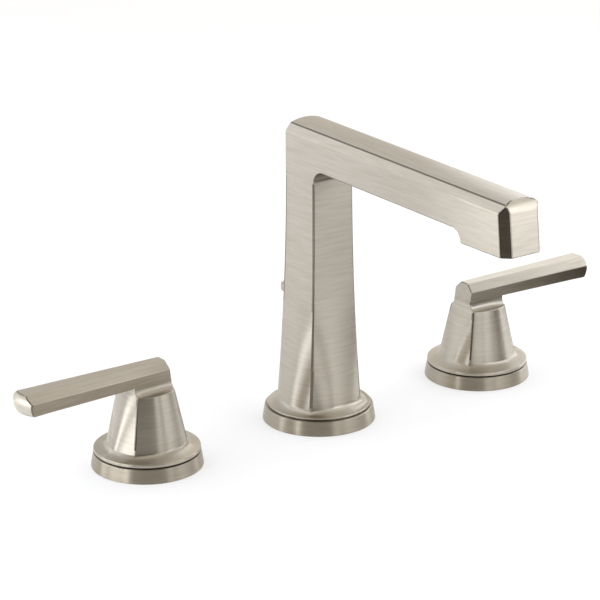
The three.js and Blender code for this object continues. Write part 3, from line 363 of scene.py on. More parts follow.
def bell_object(name):
    foot = hub_plan(HUB_FOOT_HEIGHT)
    rings = rim_rings(foot, HUB_DISC_RADIUS, HUB_BOTTOM, HUB_RIM_TOP, HUB_RIM_EDGE)
    flare = flare_rings(foot, HUB_DISC_RADIUS - HUB_RIM_EDGE, HUB_RIM_TOP, HUB_FOOT_HEIGHT)
    rings += flare[1:]
    for i in range(HUB_STEPS):
        height = lerp(HUB_FOOT_HEIGHT, HUB_TOP_HEIGHT - LIP_EDGE, i / (HUB_STEPS - 1))
        rings.append(at_height(hub_plan(height), height))
    for drawn_in, above in arc(0, 0, LIP_EDGE, *LIP_ROUND):
        height = HUB_TOP_HEIGHT - LIP_EDGE + above
        rings.append(at_height(hub_plan(height, LIP_EDGE - drawn_in), height))
    sweep = math.radians(COVE_SWEEP)
    for i in range(COVE_STEPS + 1):
        angle = sweep * (1 - i / COVE_STEPS)
        out = (1 - math.cos(angle)) / (1 - math.cos(sweep))
        down = math.sin(angle) / math.sin(sweep)
        height = lerp(COVE_TOP, HUB_TOP_HEIGHT, down)
        rings.append(at_height(neck_ring(out, height), height))
    top = neck_ring(0, LEVER_INNER_UNDERSIDE)
    rings.append([(x, y, lever_underside(x) + LIP_EDGE) for x, y in top])
    return loft(name, rings)


def rounded_section(corners, edge):
    """A section's outline in Y and Z with every corner rounded and every side in steps."""
    outline = []
    count = len(corners)
    for k, corner in enumerate(corners):
        before = corners[k - 1]
        after = corners[(k + 1) % count]
        near = [edge / math.dist(corner, p) for p in (before, after)]
        for i in range(EDGE_STEPS + 1):
            t = i / EDGE_STEPS
            a = near[0] * (1 - t) ** 2
            b = near[1] * t ** 2
            outline.append(tuple(
                corner[n] + (before[n] - corner[n]) * a + (after[n] - corner[n]) * b for n in (0, 1)
            ))
        start = outline[-1]
        end = [after[n] + (corner[n] - after[n]) * near[1] for n in (0, 1)]
        for i in range(1, LEVER_SIDE_STEPS):
            outline.append(tuple(lerp(start[n], end[n], i / LEVER_SIDE_STEPS) for n in (0, 1)))
    return outline


def lever_corners(share):
    foot = lerp(LEVER_INNER_HALF_WIDTH, LEVER_OUTER_HALF_FOOT, share)
    ridge = lerp(LEVER_INNER_HALF_WIDTH, LEVER_OUTER_HALF_RIDGE, share)
    top = lerp(LEVER_INNER_HALF_TOP, LEVER_OUTER_HALF_TOP, share)
    underside = lerp(LEVER_INNER_UNDERSIDE, LEVER_OUTER_UNDERSIDE, share)
    return [
        (-foot, underside), (foot, underside), (ridge, LEVER_RIDGE),
        (top, LEVER_TOP), (-top, LEVER_TOP), (-ridge, LEVER_RIDGE),
    ]


def dome_reach(y, height):
    """X of the lever's domed outer end."""
    middle = (LEVER_TOP + LEVER_OUTER_UNDERSIDE) / 2
    rise = (height - middle) / (LEVER_TOP - middle)
    aside = y / LEVER_OUTER_HALF_RIDGE
    return LEVER_REACH - LEVER_END_CROWN * rise * rise - LEVER_END_SAG * aside ** 2


def shrunk(outline, inset, share):
    """The outline moved in by a fixed inset, then drawn towards its middle by a share."""
    middle_y = sum(p[0] for p in outline) / len(outline)
    middle_z = sum(p[1] for p in outline) / len(outline)
    moved = []
    for y, z in outline:
        away = math.hypot(y - middle_y, z - middle_z)
        keep = (1 - inset / away) * (1 - share)
        moved.append((middle_y + (y - middle_y) * keep, middle_z + (z - middle_z) * keep))
    return moved


def lever_object(name):
    def section(x):
        return rounded_section(lever_corners(lever_share(x)), LEVER_EDGE)

    rings = []
    inner = section(-HUB_TOP_HALF_WIDTH)
    outer = section(LEVER_REACH)
    edge = LEVER_END_EDGE
    first = -HUB_TOP_HALF_WIDTH + LEVER_INNER_SETBACK
    last = LEVER_REACH - LEVER_OUTER_SETBACK
    for share in INNER_FACE_SHARES:
        rings.append([(inner_face(y, z), y, z) for y, z in shrunk(inner, edge, share)])
    for inset, back in END_ROUND:
        ring = shrunk(inner, inset * edge, 0)
        rings.append([(inner_face(y, z) + back * edge, y, z) for y, z in ring])
    for i in range(1, LEVER_STEPS):
        x = lerp(first, last, i / LEVER_STEPS)
        rings.append([(x, y, z) for y, z in section(x)])
    for inset, back in reversed(END_ROUND):
        ring = shrunk(outer, inset * edge, 0)
        rings.append([(dome_reach(y, z) - back * edge, y, z) for y, z in ring])
    for share in OUTER_FACE_SHARES:
        rings.append([(dome_reach(y, z), y, z) for y, z in shrunk(outer, edge, share)])
    return loft(name, rings)


def at_handle(obj, side):
    obj.location.x = side * RIGHT_HANDLE_X * MM
    return obj


def handle_object(name, side):
    """One handle, turned half round for the hot side. Its set screw stays at the back."""
    handle = boolean(outward(bell_object(name)), outward(lever_object("lever")), "UNION")
    hollow = turned("hollow", [
        (0, HUB_BOTTOM - OVERRUN), (HOLLOW_RADIUS, HUB_BOTTOM - OVERRUN), (HOLLOW_RADIUS, HUB_BOTTOM),
        (HOLLOW_TOP_RADIUS, HOLLOW_TOP), (0, HOLLOW_TOP),
    ], ROD_SIDES)
    socket = rod("socket", SOCKET_RADIUS, HOLLOW_TOP - OVERRUN, SOCKET_TOP, SMALL_SIDES)
    screw_end = side * SET_SCREW_HOLE_END
    screw_hole = rod_along_y("screw_hole", SET_SCREW_HOLE_RADIUS, 0, screw_end, SET_SCREW_HEIGHT)
    for cut in (hollow, socket, screw_hole):
        boolean(handle, outward(cut), "DIFFERENCE")
    handle.rotation_euler.z = 0 if side > 0 else math.pi
    return at_handle(finish_mesh(handle), side)


# Spout: column and arm

FOOT_BOTTOM = 7.5
FOOT_UNDERCUT_DEPTH = 0.6
FOOT_EDGE_BOTTOM = 7.75
FOOT_EDGE_TOP = 8.6
FOOT_DISC_RADIUS = 25.6
FOOT_HEIGHT = 11.8
FOOT_HALF_WIDTH = 15.2
FOOT_HALF_DEPTH = 14.0
FOOT_BOW = 4.2
BOW_TOP_HEIGHT = 76.0
BOW_POWER = 1.3
ARM_HALF_WIDTH = 11.75
COLUMN_FRONT_TOP = 11.75
COLUMN_REAR_TOP = 11.0
CORNER_FILLET = 7.0
ARM_UNDERSIDE = 131.9
COLUMN_TOP = ARM_UNDERSIDE - CORNER_FILLET
ARM_DROOP = 0.0165
ARM_LOWER_RIDGE = 146.45
ARM_UPPER_RIDGE = 150.15
ARM_CHAMFER_WIDTH = 3.1
ARM_CROWN_RISE = 1.4
COLUMN_WIDTH_POWER = 2.2
COLUMN_DEPTH_POWER = 1.3
COLUMN_CORNER = 0.85
COLUMN_STEPS = 30
TIP_REACH = 153.0
TIP_LEAN = 2.1
TIP_UNDERSIDE = 124.0
TIP_HEEL = 121.7
TIP_STEP_LENGTH = 6.0
TIP_FILLET = 6.0
TIP_CORNER_WIDTH = 3.9
TIP_CORNER_DEPTH = 3.5
ARM_EDGE = 0.5
ARM_EDGE_ANGLE = math.radians(24)
CROWN_STEPS = 16
SIDE_VIEW_STEPS = 12
# Points nearer than this are joined, and faces that turn less than this become one.
WELD_DISTANCE = 0.01
FLAT_ANGLE = math.radians(0.4)
SHANK_HOLE_RADIUS = 10.8
SHANK_HOLE_TOP = 26.3
COLUMN_BORE = 8.0
WATERWAY_HOLE_RADIUS = 5.8
WATERWAY_BEND = 15.0
WATERWAY_BEND_STEPS = 8
BORE_OVERLAP = 1
ARM_BORE_HEIGHT = 139.6
AERATOR_BACK = 137.6
AERATOR_HOLE_RADIUS = 9.9
AERATOR_SEAT = 134.6
CHAMBER_RADIUS = 7.4
CHAMBER_HEIGHT = 144.5
GUIDE_HOLE_RADIUS = 3.4
ROD_BACK = 21.2


def column_plan(height):
    low = max(0.0, (COLUMN_TOP - height) / (COLUMN_TOP - FOOT_HEIGHT))
    bow_share = max(0.0, (BOW_TOP_HEIGHT - height) / (BOW_TOP_HEIGHT - FOOT_HEIGHT))
    depth = low ** COLUMN_DEPTH_POWER
    bow = FOOT_BOW * bow_share ** BOW_POWER
    return bell_plan(
        lerp(ARM_HALF_WIDTH, FOOT_HALF_WIDTH, low ** COLUMN_WIDTH_POWER),
        lerp(COLUMN_FRONT_TOP, FOOT_HALF_DEPTH, depth),
        lerp(COLUMN_REAR_TOP, FOOT_HALF_DEPTH, depth),
        bow,
        bow,
        COLUMN_CORNER,
    )


def column_object(name):
    foot = column_plan(FOOT_HEIGHT)
    spigot = FOOT_DISC_RADIUS - FOOT_UNDERCUT_DEPTH
    edge = (FOOT_EDGE_TOP - FOOT_EDGE_BOTTOM) / 2
    rings = [
        at_height(round_plan(foot, spigot), FOOT_BOTTOM),
        at_height(round_plan(foot, spigot), FOOT_EDGE_BOTTOM),
    ]
    rings += [
        at_height(round_plan(foot, r), z)
        for r, z in arc(FOOT_DISC_RADIUS - edge, FOOT_EDGE_BOTTOM + edge, edge, *FOOT_ROUND)
    ]
    rings += flare_rings(foot, FOOT_DISC_RADIUS - edge, FOOT_EDGE_TOP, FOOT_HEIGHT)[1:]
    for i in range(COLUMN_STEPS + 1):
        height = lerp(FOOT_HEIGHT, COLUMN_TOP, i / COLUMN_STEPS)
        rings.append(at_height(column_plan(height), height))
    rings.append(at_height(column_plan(COLUMN_TOP), COLUMN_TOP + OVERRUN))
    return loft(name, rings)


def droop(back):
    """The change in the arm's height at a distance in front of the column's axis."""
    return -ARM_DROOP * back


def arm_section(back):
    half_top = ARM_HALF_WIDTH - ARM_CHAMFER_WIDTH
    outline = [(ARM_HALF_WIDTH, ARM_LOWER_RIDGE)]
    for i in range(CROWN_STEPS + 1):
        t = 1 - 2 * i / CROWN_STEPS
        outline.append((half_top * t, ARM_UPPER_RIDGE + ARM_CROWN_RISE * (1 - t * t)))
    outline.append((-ARM_HALF_WIDTH, ARM_LOWER_RIDGE))
    low = TIP_UNDERSIDE - OVERRUN
    return [(-ARM_HALF_WIDTH, -back, low), (ARM_HALF_WIDTH, -back, low)] + [
        (x, -back, z + droop(back)) for x, z in outline
    ]


def arm_side_view():
    """The arm's outline from the side, with its round nose, stepped underside and inner fillet."""
    step_back = TIP_HEEL - TIP_STEP_LENGTH
    nose_back = TIP_REACH - TIP_LEAN
    nose_top = ARM_UPPER_RIDGE + ARM_CROWN_RISE + droop(nose_back - TIP_FILLET)
    step_drop = ARM_UNDERSIDE + droop(step_back) - TIP_UNDERSIDE
    steps = SIDE_VIEW_STEPS
    step = []
    for i in range(steps + 1):
        angle = math.pi / 2 * i / steps
        step.append((
            -(step_back + TIP_STEP_LENGTH * math.sin(angle)),
            TIP_UNDERSIDE + step_drop * math.cos(angle),
        ))
    fillet_back = COLUMN_FRONT_TOP + CORNER_FILLET
    inner = []
    for y, z in arc(-fillet_back, COLUMN_TOP, CORNER_FILLET, 0, 90, steps):
        share = (z - COLUMN_TOP) / CORNER_FILLET
        inner.append((y, z + share * droop(fillet_back)))
    nose = arc(-(nose_back - TIP_FILLET), nose_top - TIP_FILLET, TIP_FILLET, 90, 180, steps)
    top = ARM_UPPER_RIDGE + ARM_CROWN_RISE + OVERRUN
    outline = [(COLUMN_REAR_TOP, COLUMN_TOP), (COLUMN_REAR_TOP, top), (-(nose_back - TIP_FILLET), top)]
    outline += nose
    outline.append((-TIP_REACH, TIP_UNDERSIDE))
    outline += step[::-1] + inner[::-1]
    return outline


def arm_plan(height):
    """A plan that cuts the nose: its two corners and its leaning front face."""
    lean_run = ARM_UPPER_RIDGE - TIP_FILLET - TIP_UNDERSIDE
    reach = TIP_REACH - TIP_LEAN * (height - TIP_UNDERSIDE) / lean_run
    wide = ARM_HALF_WIDTH + OVERRUN
    corner_back = reach - TIP_CORNER_DEPTH - OVERRUN * TIP_CORNER_DEPTH / TIP_CORNER_WIDTH
    nose = ARM_HALF_WIDTH - TIP_CORNER_WIDTH
    rear = COLUMN_REAR_TOP + OVERRUN
    left = [(-wide, rear), (-wide, -corner_back), (-nose, -reach)]
    right = [(nose, -reach), (wide, -corner_back), (wide, rear)]
    return at_height(left + right, height)


def arm_object(name):
    bar = loft(name, [arm_section(-COLUMN_REAR_TOP - OVERRUN), arm_section(TIP_REACH + OVERRUN)])
    wide = ARM_HALF_WIDTH + OVERRUN
    outline = arm_side_view()
    side = loft("side", [[(x, y, z) for y, z in outline] for x in (-wide, wide)])
    top = ARM_UPPER_RIDGE + ARM_CROWN_RISE + OVERRUN
    plan = loft("plan", [arm_plan(TIP_UNDERSIDE - OVERRUN), arm_plan(top)])
    for obj in (bar, side, plan):
        outward(obj)
    boolean(bar, side, "INTERSECT")
    boolean(bar, plan, "INTERSECT")
    join_flat_faces(bar)
    bevel = bar.modifiers.new("edges", "BEVEL")
    bevel.width = ARM_EDGE * MM
    bevel.segments = EDGE_STEPS
    bevel.limit_method = "ANGLE"
    bevel.angle_limit = ARM_EDGE_ANGLE
    bevel.use_clamp_overlap = False
    return apply_modifiers(bar)


def join_flat_faces(obj):
    work = bmesh.new()
    work.from_mesh(obj.data)
    bmesh.ops.remove_doubles(work, verts=work.verts, dist=WELD_DISTANCE * MM)
    bmesh.ops.dissolve_limit(work, angle_limit=FLAT_ANGLE, verts=work.verts, edges=work.edges)
    work.to_mesh(obj.data)
    work.free()


def outward(obj):
    """Turns every face of a closed mesh to point out."""
    work = bmesh.new()
    work.from_mesh(obj.data)
    bmesh.ops.recalc_face_normals(work, faces=work.faces)
    work.to_mesh(obj.data)
    work.free()
    return obj


def waterway_rod(name, radius, bottom, end_back):
    """The waterway's hole: up the column, round a bend and out along the arm."""
    def ring(degrees, y, z):
        lean = math.radians(degrees)
        points = []
        for angle in angles_round(SMALL_SIDES):
            out = radius * math.sin(angle)
            points.append((radius * math.cos(angle), y + out * math.cos(lean), z + out * math.sin(lean)))
        return points

    steps = WATERWAY_BEND_STEPS
    bend_height = ARM_BORE_HEIGHT - WATERWAY_BEND
    rings = [ring(0, 0, bottom)]
    bend = arc(-WATERWAY_BEND, bend_height, WATERWAY_BEND, 0, 90, steps)
    rings += [ring(90 * i / steps, y, z) for i, (y, z) in enumerate(bend)]
    rings.append(ring(90, -end_back, ARM_BORE_HEIGHT))
    return loft(name, rings)


def spout_object(name):
    column = outward(column_object(name))
    spout = boolean(column, outward(arm_object("arm")), "UNION")
    tip = (0, -AERATOR_BACK)
    guide = (0, ROD_BACK)
    below = FOOT_BOTTOM - OVERRUN
    bore_start = SHANK_HOLE_TOP - BORE_OVERLAP
    hollows = [
        rod("hollow", SHANK_HOLE_RADIUS, below, SHANK_HOLE_TOP),
        rod("hollow", COLUMN_BORE, bore_start, ARM_BORE_HEIGHT - WATERWAY_BEND),
        waterway_rod("hollow", WATERWAY_HOLE_RADIUS, bore_start, AERATOR_BACK),
        rod("hollow", CHAMBER_RADIUS, AERATOR_SEAT - OVERRUN, CHAMBER_HEIGHT, centre=tip),
        rod("hollow", AERATOR_HOLE_RADIUS, TIP_UNDERSIDE - OVERRUN, AERATOR_SEAT, PORT_SIDES, tip),
        rod("hollow", GUIDE_HOLE_RADIUS, below, FOOT_HEIGHT + OVERRUN, SMALL_SIDES, guide),
    ]
    for hollow in hollows:
        boolean(spout, outward(hollow), "DIFFERENCE")
    return finish_mesh(spout)


# Base rings, glide rings and the lift rod's knob, all turned

SPOUT_RING_RADIUS = 28.0
SPOUT_RING_TOP_RADIUS = 26.9
SPOUT_RING_HEIGHT = 7.2
SPOUT_RING_BORE = 10.8
HANDLE_RING_RADIUS = 26.9
HANDLE_RING_TOP_RADIUS = 25.8
HANDLE_RING_BORE = 12.8
RING_WEB = 2.0
RING_WALL = 3.6
RING_EDGE = 0.4
RING_FOOT_EDGE = 0.25
RING_FOOT_STEPS = 4
RING_TOP_STEPS = 5
GROOVE_BOTTOM = 6.0
GROOVE_OUTER_RADIUS = 24.9
GROOVE_INNER_RADIUS = 20.1
GLIDE_OUTER_RADIUS = 24.6
GLIDE_INNER_RADIUS = 20.4
GLIDE_BOTTOM = 6.3
GLIDE_TOP = 7.3
GLIDE_EDGE = 0.2
ROD_HOLE_RADIUS = 2.2
ROD_RADIUS = 1.6
KNOB_RADIUS = 6.2
KNOB_UNDERSIDE = 60.6
KNOB_TOP = 64.6
KNOB_EDGE = 0.9
KNOB_NECK_RADIUS = 2.7
KNOB_NECK_BOTTOM = 58.2
KNOB_BORE_GAP = 0.3
KNOB_SHOULDER_DROP = 0.3
KNOB_DOME_INSET = 1.6
KNOB_DOME_DROP = 0.1
KNOB_LOWER_ROUND = (-90, 0, 5)
KNOB_UPPER_ROUND = (0, 75, 4)


def ring_profile(radius, top_radius, height, bore, groove):
    """A hollow ring's profile, with a leaning side and, for a handle, the glide ring's groove."""
    recess = radius - RING_WALL
    profile = [(bore, height - RING_WEB), (recess, height - RING_WEB), (recess, 0)]
    profile += arc(radius - RING_FOOT_EDGE, RING_FOOT_EDGE, RING_FOOT_EDGE, -90, 0, RING_FOOT_STEPS)
    lean = math.degrees(math.atan2(radius - top_radius, height))
    profile += arc(top_radius - RING_EDGE, height - RING_EDGE, RING_EDGE, lean, 90, RING_TOP_STEPS)
    if groove:
        profile += [
            (GROOVE_OUTER_RADIUS, height), (GROOVE_OUTER_RADIUS, GROOVE_BOTTOM),
            (GROOVE_INNER_RADIUS, GROOVE_BOTTOM), (GROOVE_INNER_RADIUS, height),
        ]
    profile.append((bore, height))
    return profile


def spout_ring_object(name):
    height = SPOUT_RING_HEIGHT
    profile = ring_profile(SPOUT_RING_RADIUS, SPOUT_RING_TOP_RADIUS, height, SPOUT_RING_BORE, False)
    ring = outward(turned(name, profile))
    hole = rod("hole", ROD_HOLE_RADIUS, -OVERRUN, height + OVERRUN, SMALL_SIDES, (0, ROD_BACK))
    return finish_mesh(boolean(ring, outward(hole), "DIFFERENCE"))


def handle_ring_object(name, side):
    height = HANDLE_RING_HEIGHT
    profile = ring_profile(HANDLE_RING_RADIUS, HANDLE_RING_TOP_RADIUS, height, HANDLE_RING_BORE, True)
    return at_handle(finish_mesh(outward(turned(name, profile))), side)


def glide_ring_object(name, side):
    edge = GLIDE_EDGE
    profile = arc(GLIDE_OUTER_RADIUS - edge, GLIDE_BOTTOM + edge, edge, -90, 0, EDGE_STEPS)
    profile += arc(GLIDE_OUTER_RADIUS - edge, GLIDE_TOP - edge, edge, 0, 90, EDGE_STEPS)
    profile += arc(GLIDE_INNER_RADIUS + edge, GLIDE_TOP - edge, edge, 90, 180, EDGE_STEPS)
    profile += arc(GLIDE_INNER_RADIUS + edge, GLIDE_BOTTOM + edge, edge, 180, 270, EDGE_STEPS)
    return at_handle(finish_mesh(outward(turned(name, profile))), side)


def knob_object(name):
    """The knob and its neck round the rod, with a softly domed top."""
    bore = ROD_RADIUS + KNOB_BORE_GAP
    edge = KNOB_EDGE / 2
    profile = [
        (bore, KNOB_UNDERSIDE), (bore, KNOB_NECK_BOTTOM),
        (KNOB_NECK_RADIUS, KNOB_NECK_BOTTOM), (KNOB_NECK_RADIUS, KNOB_UNDERSIDE),
    ]
    profile += arc(KNOB_RADIUS - KNOB_EDGE, KNOB_UNDERSIDE + KNOB_EDGE, KNOB_EDGE, *KNOB_LOWER_ROUND)
    profile += arc(KNOB_RADIUS - edge, KNOB_TOP - edge - KNOB_SHOULDER_DROP, edge, *KNOB_UPPER_ROUND)
    profile += [
        (KNOB_RADIUS - KNOB_DOME_INSET, KNOB_TOP - KNOB_DOME_DROP), (KNOB_RADIUS / 2, KNOB_TOP),
        (0, KNOB_TOP), (0, KNOB_UNDERSIDE),
    ]
    return finish_mesh(outward(turned(name, profile, PORT_SIDES, (0, ROD_BACK))))


# Materials. Every pattern follows the object's own coordinates.

# Most of the noise lies between these two values.
NOISE_LOW = 0.3
NOISE_HIGH = 0.7
FINE_DETAIL = 4.0
BROAD_DETAIL = 2.0
GRAIN_DETAIL = 3.0


def new_material(name):
    material = bpy.data.materials.new(name)
    material.use_nodes = True
    nodes = material.node_tree.nodes
    return material, nodes, material.node_tree.links, nodes["Principled BSDF"]


def stretched_noise(nodes, links, scale, detail=FINE_DETAIL):
    """Noise over object coordinates, stretched by a scale for each axis, in cycles per metre."""
    coordinates = nodes.new("ShaderNodeTexCoord")
    mapping = nodes.new("ShaderNodeMapping")
    mapping.inputs["Scale"].default_value = scale
    noise = nodes.new("ShaderNodeTexNoise")
    noise.inputs["Scale"].default_value = 1.0
    noise.inputs["Detail"].default_value = detail
    links.new(coordinates.outputs["Object"], mapping.inputs["Vector"])
    links.new(mapping.outputs["Vector"], noise.inputs["Vector"])
    return noise.outputs["Fac"]


def remap(nodes, links, value, low, high):
    node = nodes.new("ShaderNodeMapRange")
    node.inputs["From Min"].default_value = NOISE_LOW
    node.inputs["From Max"].default_value = NOISE_HIGH
    node.inputs["To Min"].default_value = low
    node.inputs["To Max"].default_value = high
    links.new(value, node.inputs["Value"])
    return node.outputs["Result"]


def mixed_colour(nodes, links, value, first, second):
    node = nodes.new("ShaderNodeMix")
    node.data_type = "RGBA"
    node.inputs["A"].default_value = (*first, 1)
    node.inputs["B"].default_value = (*second, 1)
    links.new(remap(nodes, links, value, 0, 1), node.inputs["Factor"])
    return node.outputs["Result"]


def bump(nodes, links, shader, value, distance):
    node = nodes.new("ShaderNodeBump")
    node.inputs["Strength"].default_value = 1.0
    node.inputs["Distance"].default_value = distance * MM
    links.new(value, node.inputs["Height"])
    links.new(node.outputs["Normal"], shader.inputs["Normal"])


NICKEL_LIGHT = (0.515, 0.465, 0.39)
NICKEL_DARK = (0.455, 0.405, 0.33)
# Painted shade: a darker copy of the nickel for the base rings.
PAINTED_SHADE_RING_LIGHT = (0.42, 0.37, 0.295)
PAINTED_SHADE_RING_DARK = (0.37, 0.325, 0.255)
# Painted shade: a darker copy of the nickel for the lever's flanks.
PAINTED_SHADE_FLANK_LIGHT = (0.34, 0.295, 0.23)
PAINTED_SHADE_FLANK_DARK = (0.28, 0.24, 0.185)
# Painted shade: a much darker copy of the nickel for the strips of rounded edges and the inside of the
# arch under the arm.
PAINTED_SHADE_EDGE_LIGHT = (0.20, 0.175, 0.14)
PAINTED_SHADE_EDGE_DARK = (0.16, 0.135, 0.105)
BRUSHED_ROUGHNESS = (0.33, 0.40)
BRUSHED_ANISOTROPY = 0.9
BRUSH_DEPTH = 0.006
METAL_GRAIN_DEPTH = 0.01
# The metal's tone changes this much more slowly than its brush lines.
BROAD_SHARE = 0.3
# Brush lines: cycles per metre, few along the lines and many across, the tangent's axis, and the
# turn of the gloss from the tangent, as a share of a full turn.
ACROSS = 3200
ALONG = 200
ROUND_Z = ((ALONG, ALONG, ACROSS), "Z", 0.25)
ALONG_X = ((ALONG, ACROSS, ACROSS), "X", 0.0)
ALONG_Y = ((ACROSS, ALONG, ACROSS), "Y", 0.0)


def brushed_metal(name, light, dark, streaks, tangent_axis, turn):
    """Metal with fine parallel brush lines, and a gloss that is drawn out by them."""
    material, nodes, links, shader = new_material(name)
    shader.inputs["Metallic"].default_value = 1.0
    shader.inputs["Anisotropic"].default_value = BRUSHED_ANISOTROPY
    shader.inputs["Anisotropic Rotation"].default_value = turn
    fine = stretched_noise(nodes, links, streaks)
    broad = stretched_noise(nodes, links, [s * BROAD_SHARE for s in streaks], BROAD_DETAIL)
    links.new(mixed_colour(nodes, links, broad, dark, light), shader.inputs["Base Color"])
    links.new(remap(nodes, links, fine, *BRUSHED_ROUGHNESS), shader.inputs["Roughness"])
    tangent = nodes.new("ShaderNodeTangent")
    tangent.direction_type = "RADIAL"
    tangent.axis = tangent_axis
    links.new(tangent.outputs["Tangent"], shader.inputs["Tangent"])
    bump(nodes, links, shader, fine, BRUSH_DEPTH)
    return material


def plain_metal(name, light, dark, roughness, grain):
    material, nodes, links, shader = new_material(name)
    shader.inputs["Metallic"].default_value = 1.0
    fine = stretched_noise(nodes, links, (grain, grain, grain))
    links.new(mixed_colour(nodes, links, fine, dark, light), shader.inputs["Base Color"])
    links.new(remap(nodes, links, fine, *roughness), shader.inputs["Roughness"])
    bump(nodes, links, shader, fine, METAL_GRAIN_DEPTH)
    return material


def moulded(name, light, dark, roughness, grain, depth, transmission=0.0):
    material, nodes, links, shader = new_material(name)
    shader.inputs["Transmission Weight"].default_value = transmission
    fine = stretched_noise(nodes, links, (grain, grain, grain), GRAIN_DETAIL)
    links.new(mixed_colour(nodes, links, fine, dark, light), shader.inputs["Base Color"])
    links.new(remap(nodes, links, fine, *roughness), shader.inputs["Roughness"])
    bump(nodes, links, shader, fine, depth)
    return material


# Name, light and dark colour, then the brush lines, or the range of roughness and the grain in
# cycles per metre, and for moulded ones the depth of the grain.
turned_nickel = brushed_metal("brushed_nickel_turned", NICKEL_LIGHT, NICKEL_DARK, *ROUND_Z)
lever_nickel = brushed_metal("brushed_nickel_lever", NICKEL_LIGHT, NICKEL_DARK, *ALONG_X)
arm_nickel = brushed_metal("brushed_nickel_arm", NICKEL_LIGHT, NICKEL_DARK, *ALONG_Y)
ring_painted_shade_nickel = brushed_metal("brushed_nickel_ring_painted_shade", PAINTED_SHADE_RING_LIGHT, PAINTED_SHADE_RING_DARK, *ROUND_Z)
flank_painted_shade_nickel = brushed_metal("brushed_nickel_flank_painted_shade", PAINTED_SHADE_FLANK_LIGHT, PAINTED_SHADE_FLANK_DARK, *ALONG_X)
edge_painted_shade_nickel = plain_metal("nickel_edge_painted_shade", PAINTED_SHADE_EDGE_LIGHT, PAINTED_SHADE_EDGE_DARK, (0.3, 0.4), 900)
brass = plain_metal("cast_brass", (0.72, 0.52, 0.24), (0.55, 0.38, 0.16), (0.28, 0.42), 600)
steel = plain_metal("zinc_plated_steel", (0.66, 0.67, 0.68), (0.52, 0.53, 0.54), (0.25, 0.38), 900)
black_nylon = moulded(
    "black_nylon", (0.020, 0.020, 0.021), (0.012, 0.012, 0.013), (0.40, 0.55), 1500, 0.01,
)
white_plastic = moulded("white_plastic", (0.80, 0.80, 0.78), (0.72, 0.72, 0.70), (0.35, 0.45), 900, 0.01)
rubber = moulded("black_rubber", (0.030, 0.029, 0.028), (0.018, 0.018, 0.018), (0.60, 0.80), 1200, 0.02)
ceramic = moulded("white_ceramic", (0.84, 0.82, 0.77), (0.78, 0.76, 0.71), (0.12, 0.20), 500, 0.003)
clear_tube = moulded(
    "clear_tube", (0.86, 0.88, 0.88), (0.78, 0.80, 0.80), (0.20, 0.30), 300, 0.01, transmission=0.6,
)

# Record slot names and the materials that finish the carried-over nodes in them.
SLOT_MATERIALS = {
    "brushed_nickel": turned_nickel,
    "brass": brass,
    "zinc_steel": steel,
    "black_nylon": black_nylon,
    "white_plastic": white_plastic,
    "rubber": rubber,
    "clear_tube": clear_tube,
    "ceramic": ceramic,
}


# Which faces get which finish, some of them painted shade, by their middle and by their normal, whose
# parts run from -1 to 1.

# A strip of a rounded edge, which gets painted shade, is narrower than this.
NARROW = 0.42
# A lever's flank, which gets painted shade, rises less than this and turns sideways more than this.
FLANK_MAX_RISE = 0.25
FLANK_MIN_TURN = 0.6
# The edges round a lever's ends turn between these along it. A face this near the dome is part of it.
END_EDGE_MIN_TURN = 0.35
END_EDGE_MAX_TURN = 0.97
DOME_GAP = 0.03
# The lever starts this far above the cove, and the arm this far in front of the column.
BORDER = 0.2
# The edges between the four faces of the hub and the column start this far above their foot.
EDGE_START = 1
# The edge along the arm's lower ridge is kept free of the painted shade within this height of it, where
# it looks up.
RIDGE_REACH = 1
# A face whose normal points forwards past this is no edge, and one whose normal points down past this
# may be the inside of the arch under the arm, which gets painted shade.
FRONT_TURN = -0.9
ARCH_TURN = -0.2


def put_finishes(obj, finishes):
    obj.data.materials.clear()
    for material in finishes:
        obj.data.materials.append(material)
    return finishes


def is_narrow(obj, face):
    """Whether a face is one strip of a rounded edge."""
    corners = [obj.data.vertices[i].co for i in face.vertices]
    longest = max((a - b).length for a, b in zip(corners, corners[1:] + corners[:1]))
    return face.area / longest < NARROW * MM < longest / 2


def finish_handle(obj):
    """Brushed round the hub and along the lever, with painted shade: darker nickel on the lever's flanks
    and the edges.
    """
    finishes = put_finishes(obj, (turned_nickel, lever_nickel, flank_painted_shade_nickel, edge_painted_shade_nickel))
    hub_bottom = HUB_FOOT_HEIGHT + EDGE_START
    hub_top = HUB_TOP_HEIGHT - LIP_EDGE
    for face in obj.data.polygons:
        centre = face.center / MM
        normal = face.normal
        finish = turned_nickel
        if centre.z > COVE_TOP + BORDER:
            on_dome = dome_reach(centre.y, centre.z) - abs(centre.x) < DOME_GAP
            at_end = END_EDGE_MIN_TURN < abs(normal.x) < END_EDGE_MAX_TURN and not on_dome
            finish = lever_nickel
            # Painted shade on the strips of the rounded edges round the lever's ends.
            if at_end and is_narrow(obj, face):
                finish = edge_painted_shade_nickel
            # Painted shade on the lever's flanks.
            elif normal.z < FLANK_MAX_RISE and abs(normal.y) > FLANK_MIN_TURN:
                finish = flank_painted_shade_nickel
        # Painted shade on the strips of the hub's rounded edges.
        elif hub_bottom < centre.z < hub_top and is_narrow(obj, face):
            finish = edge_painted_shade_nickel
        face.material_index = finishes.index(finish)
    return obj


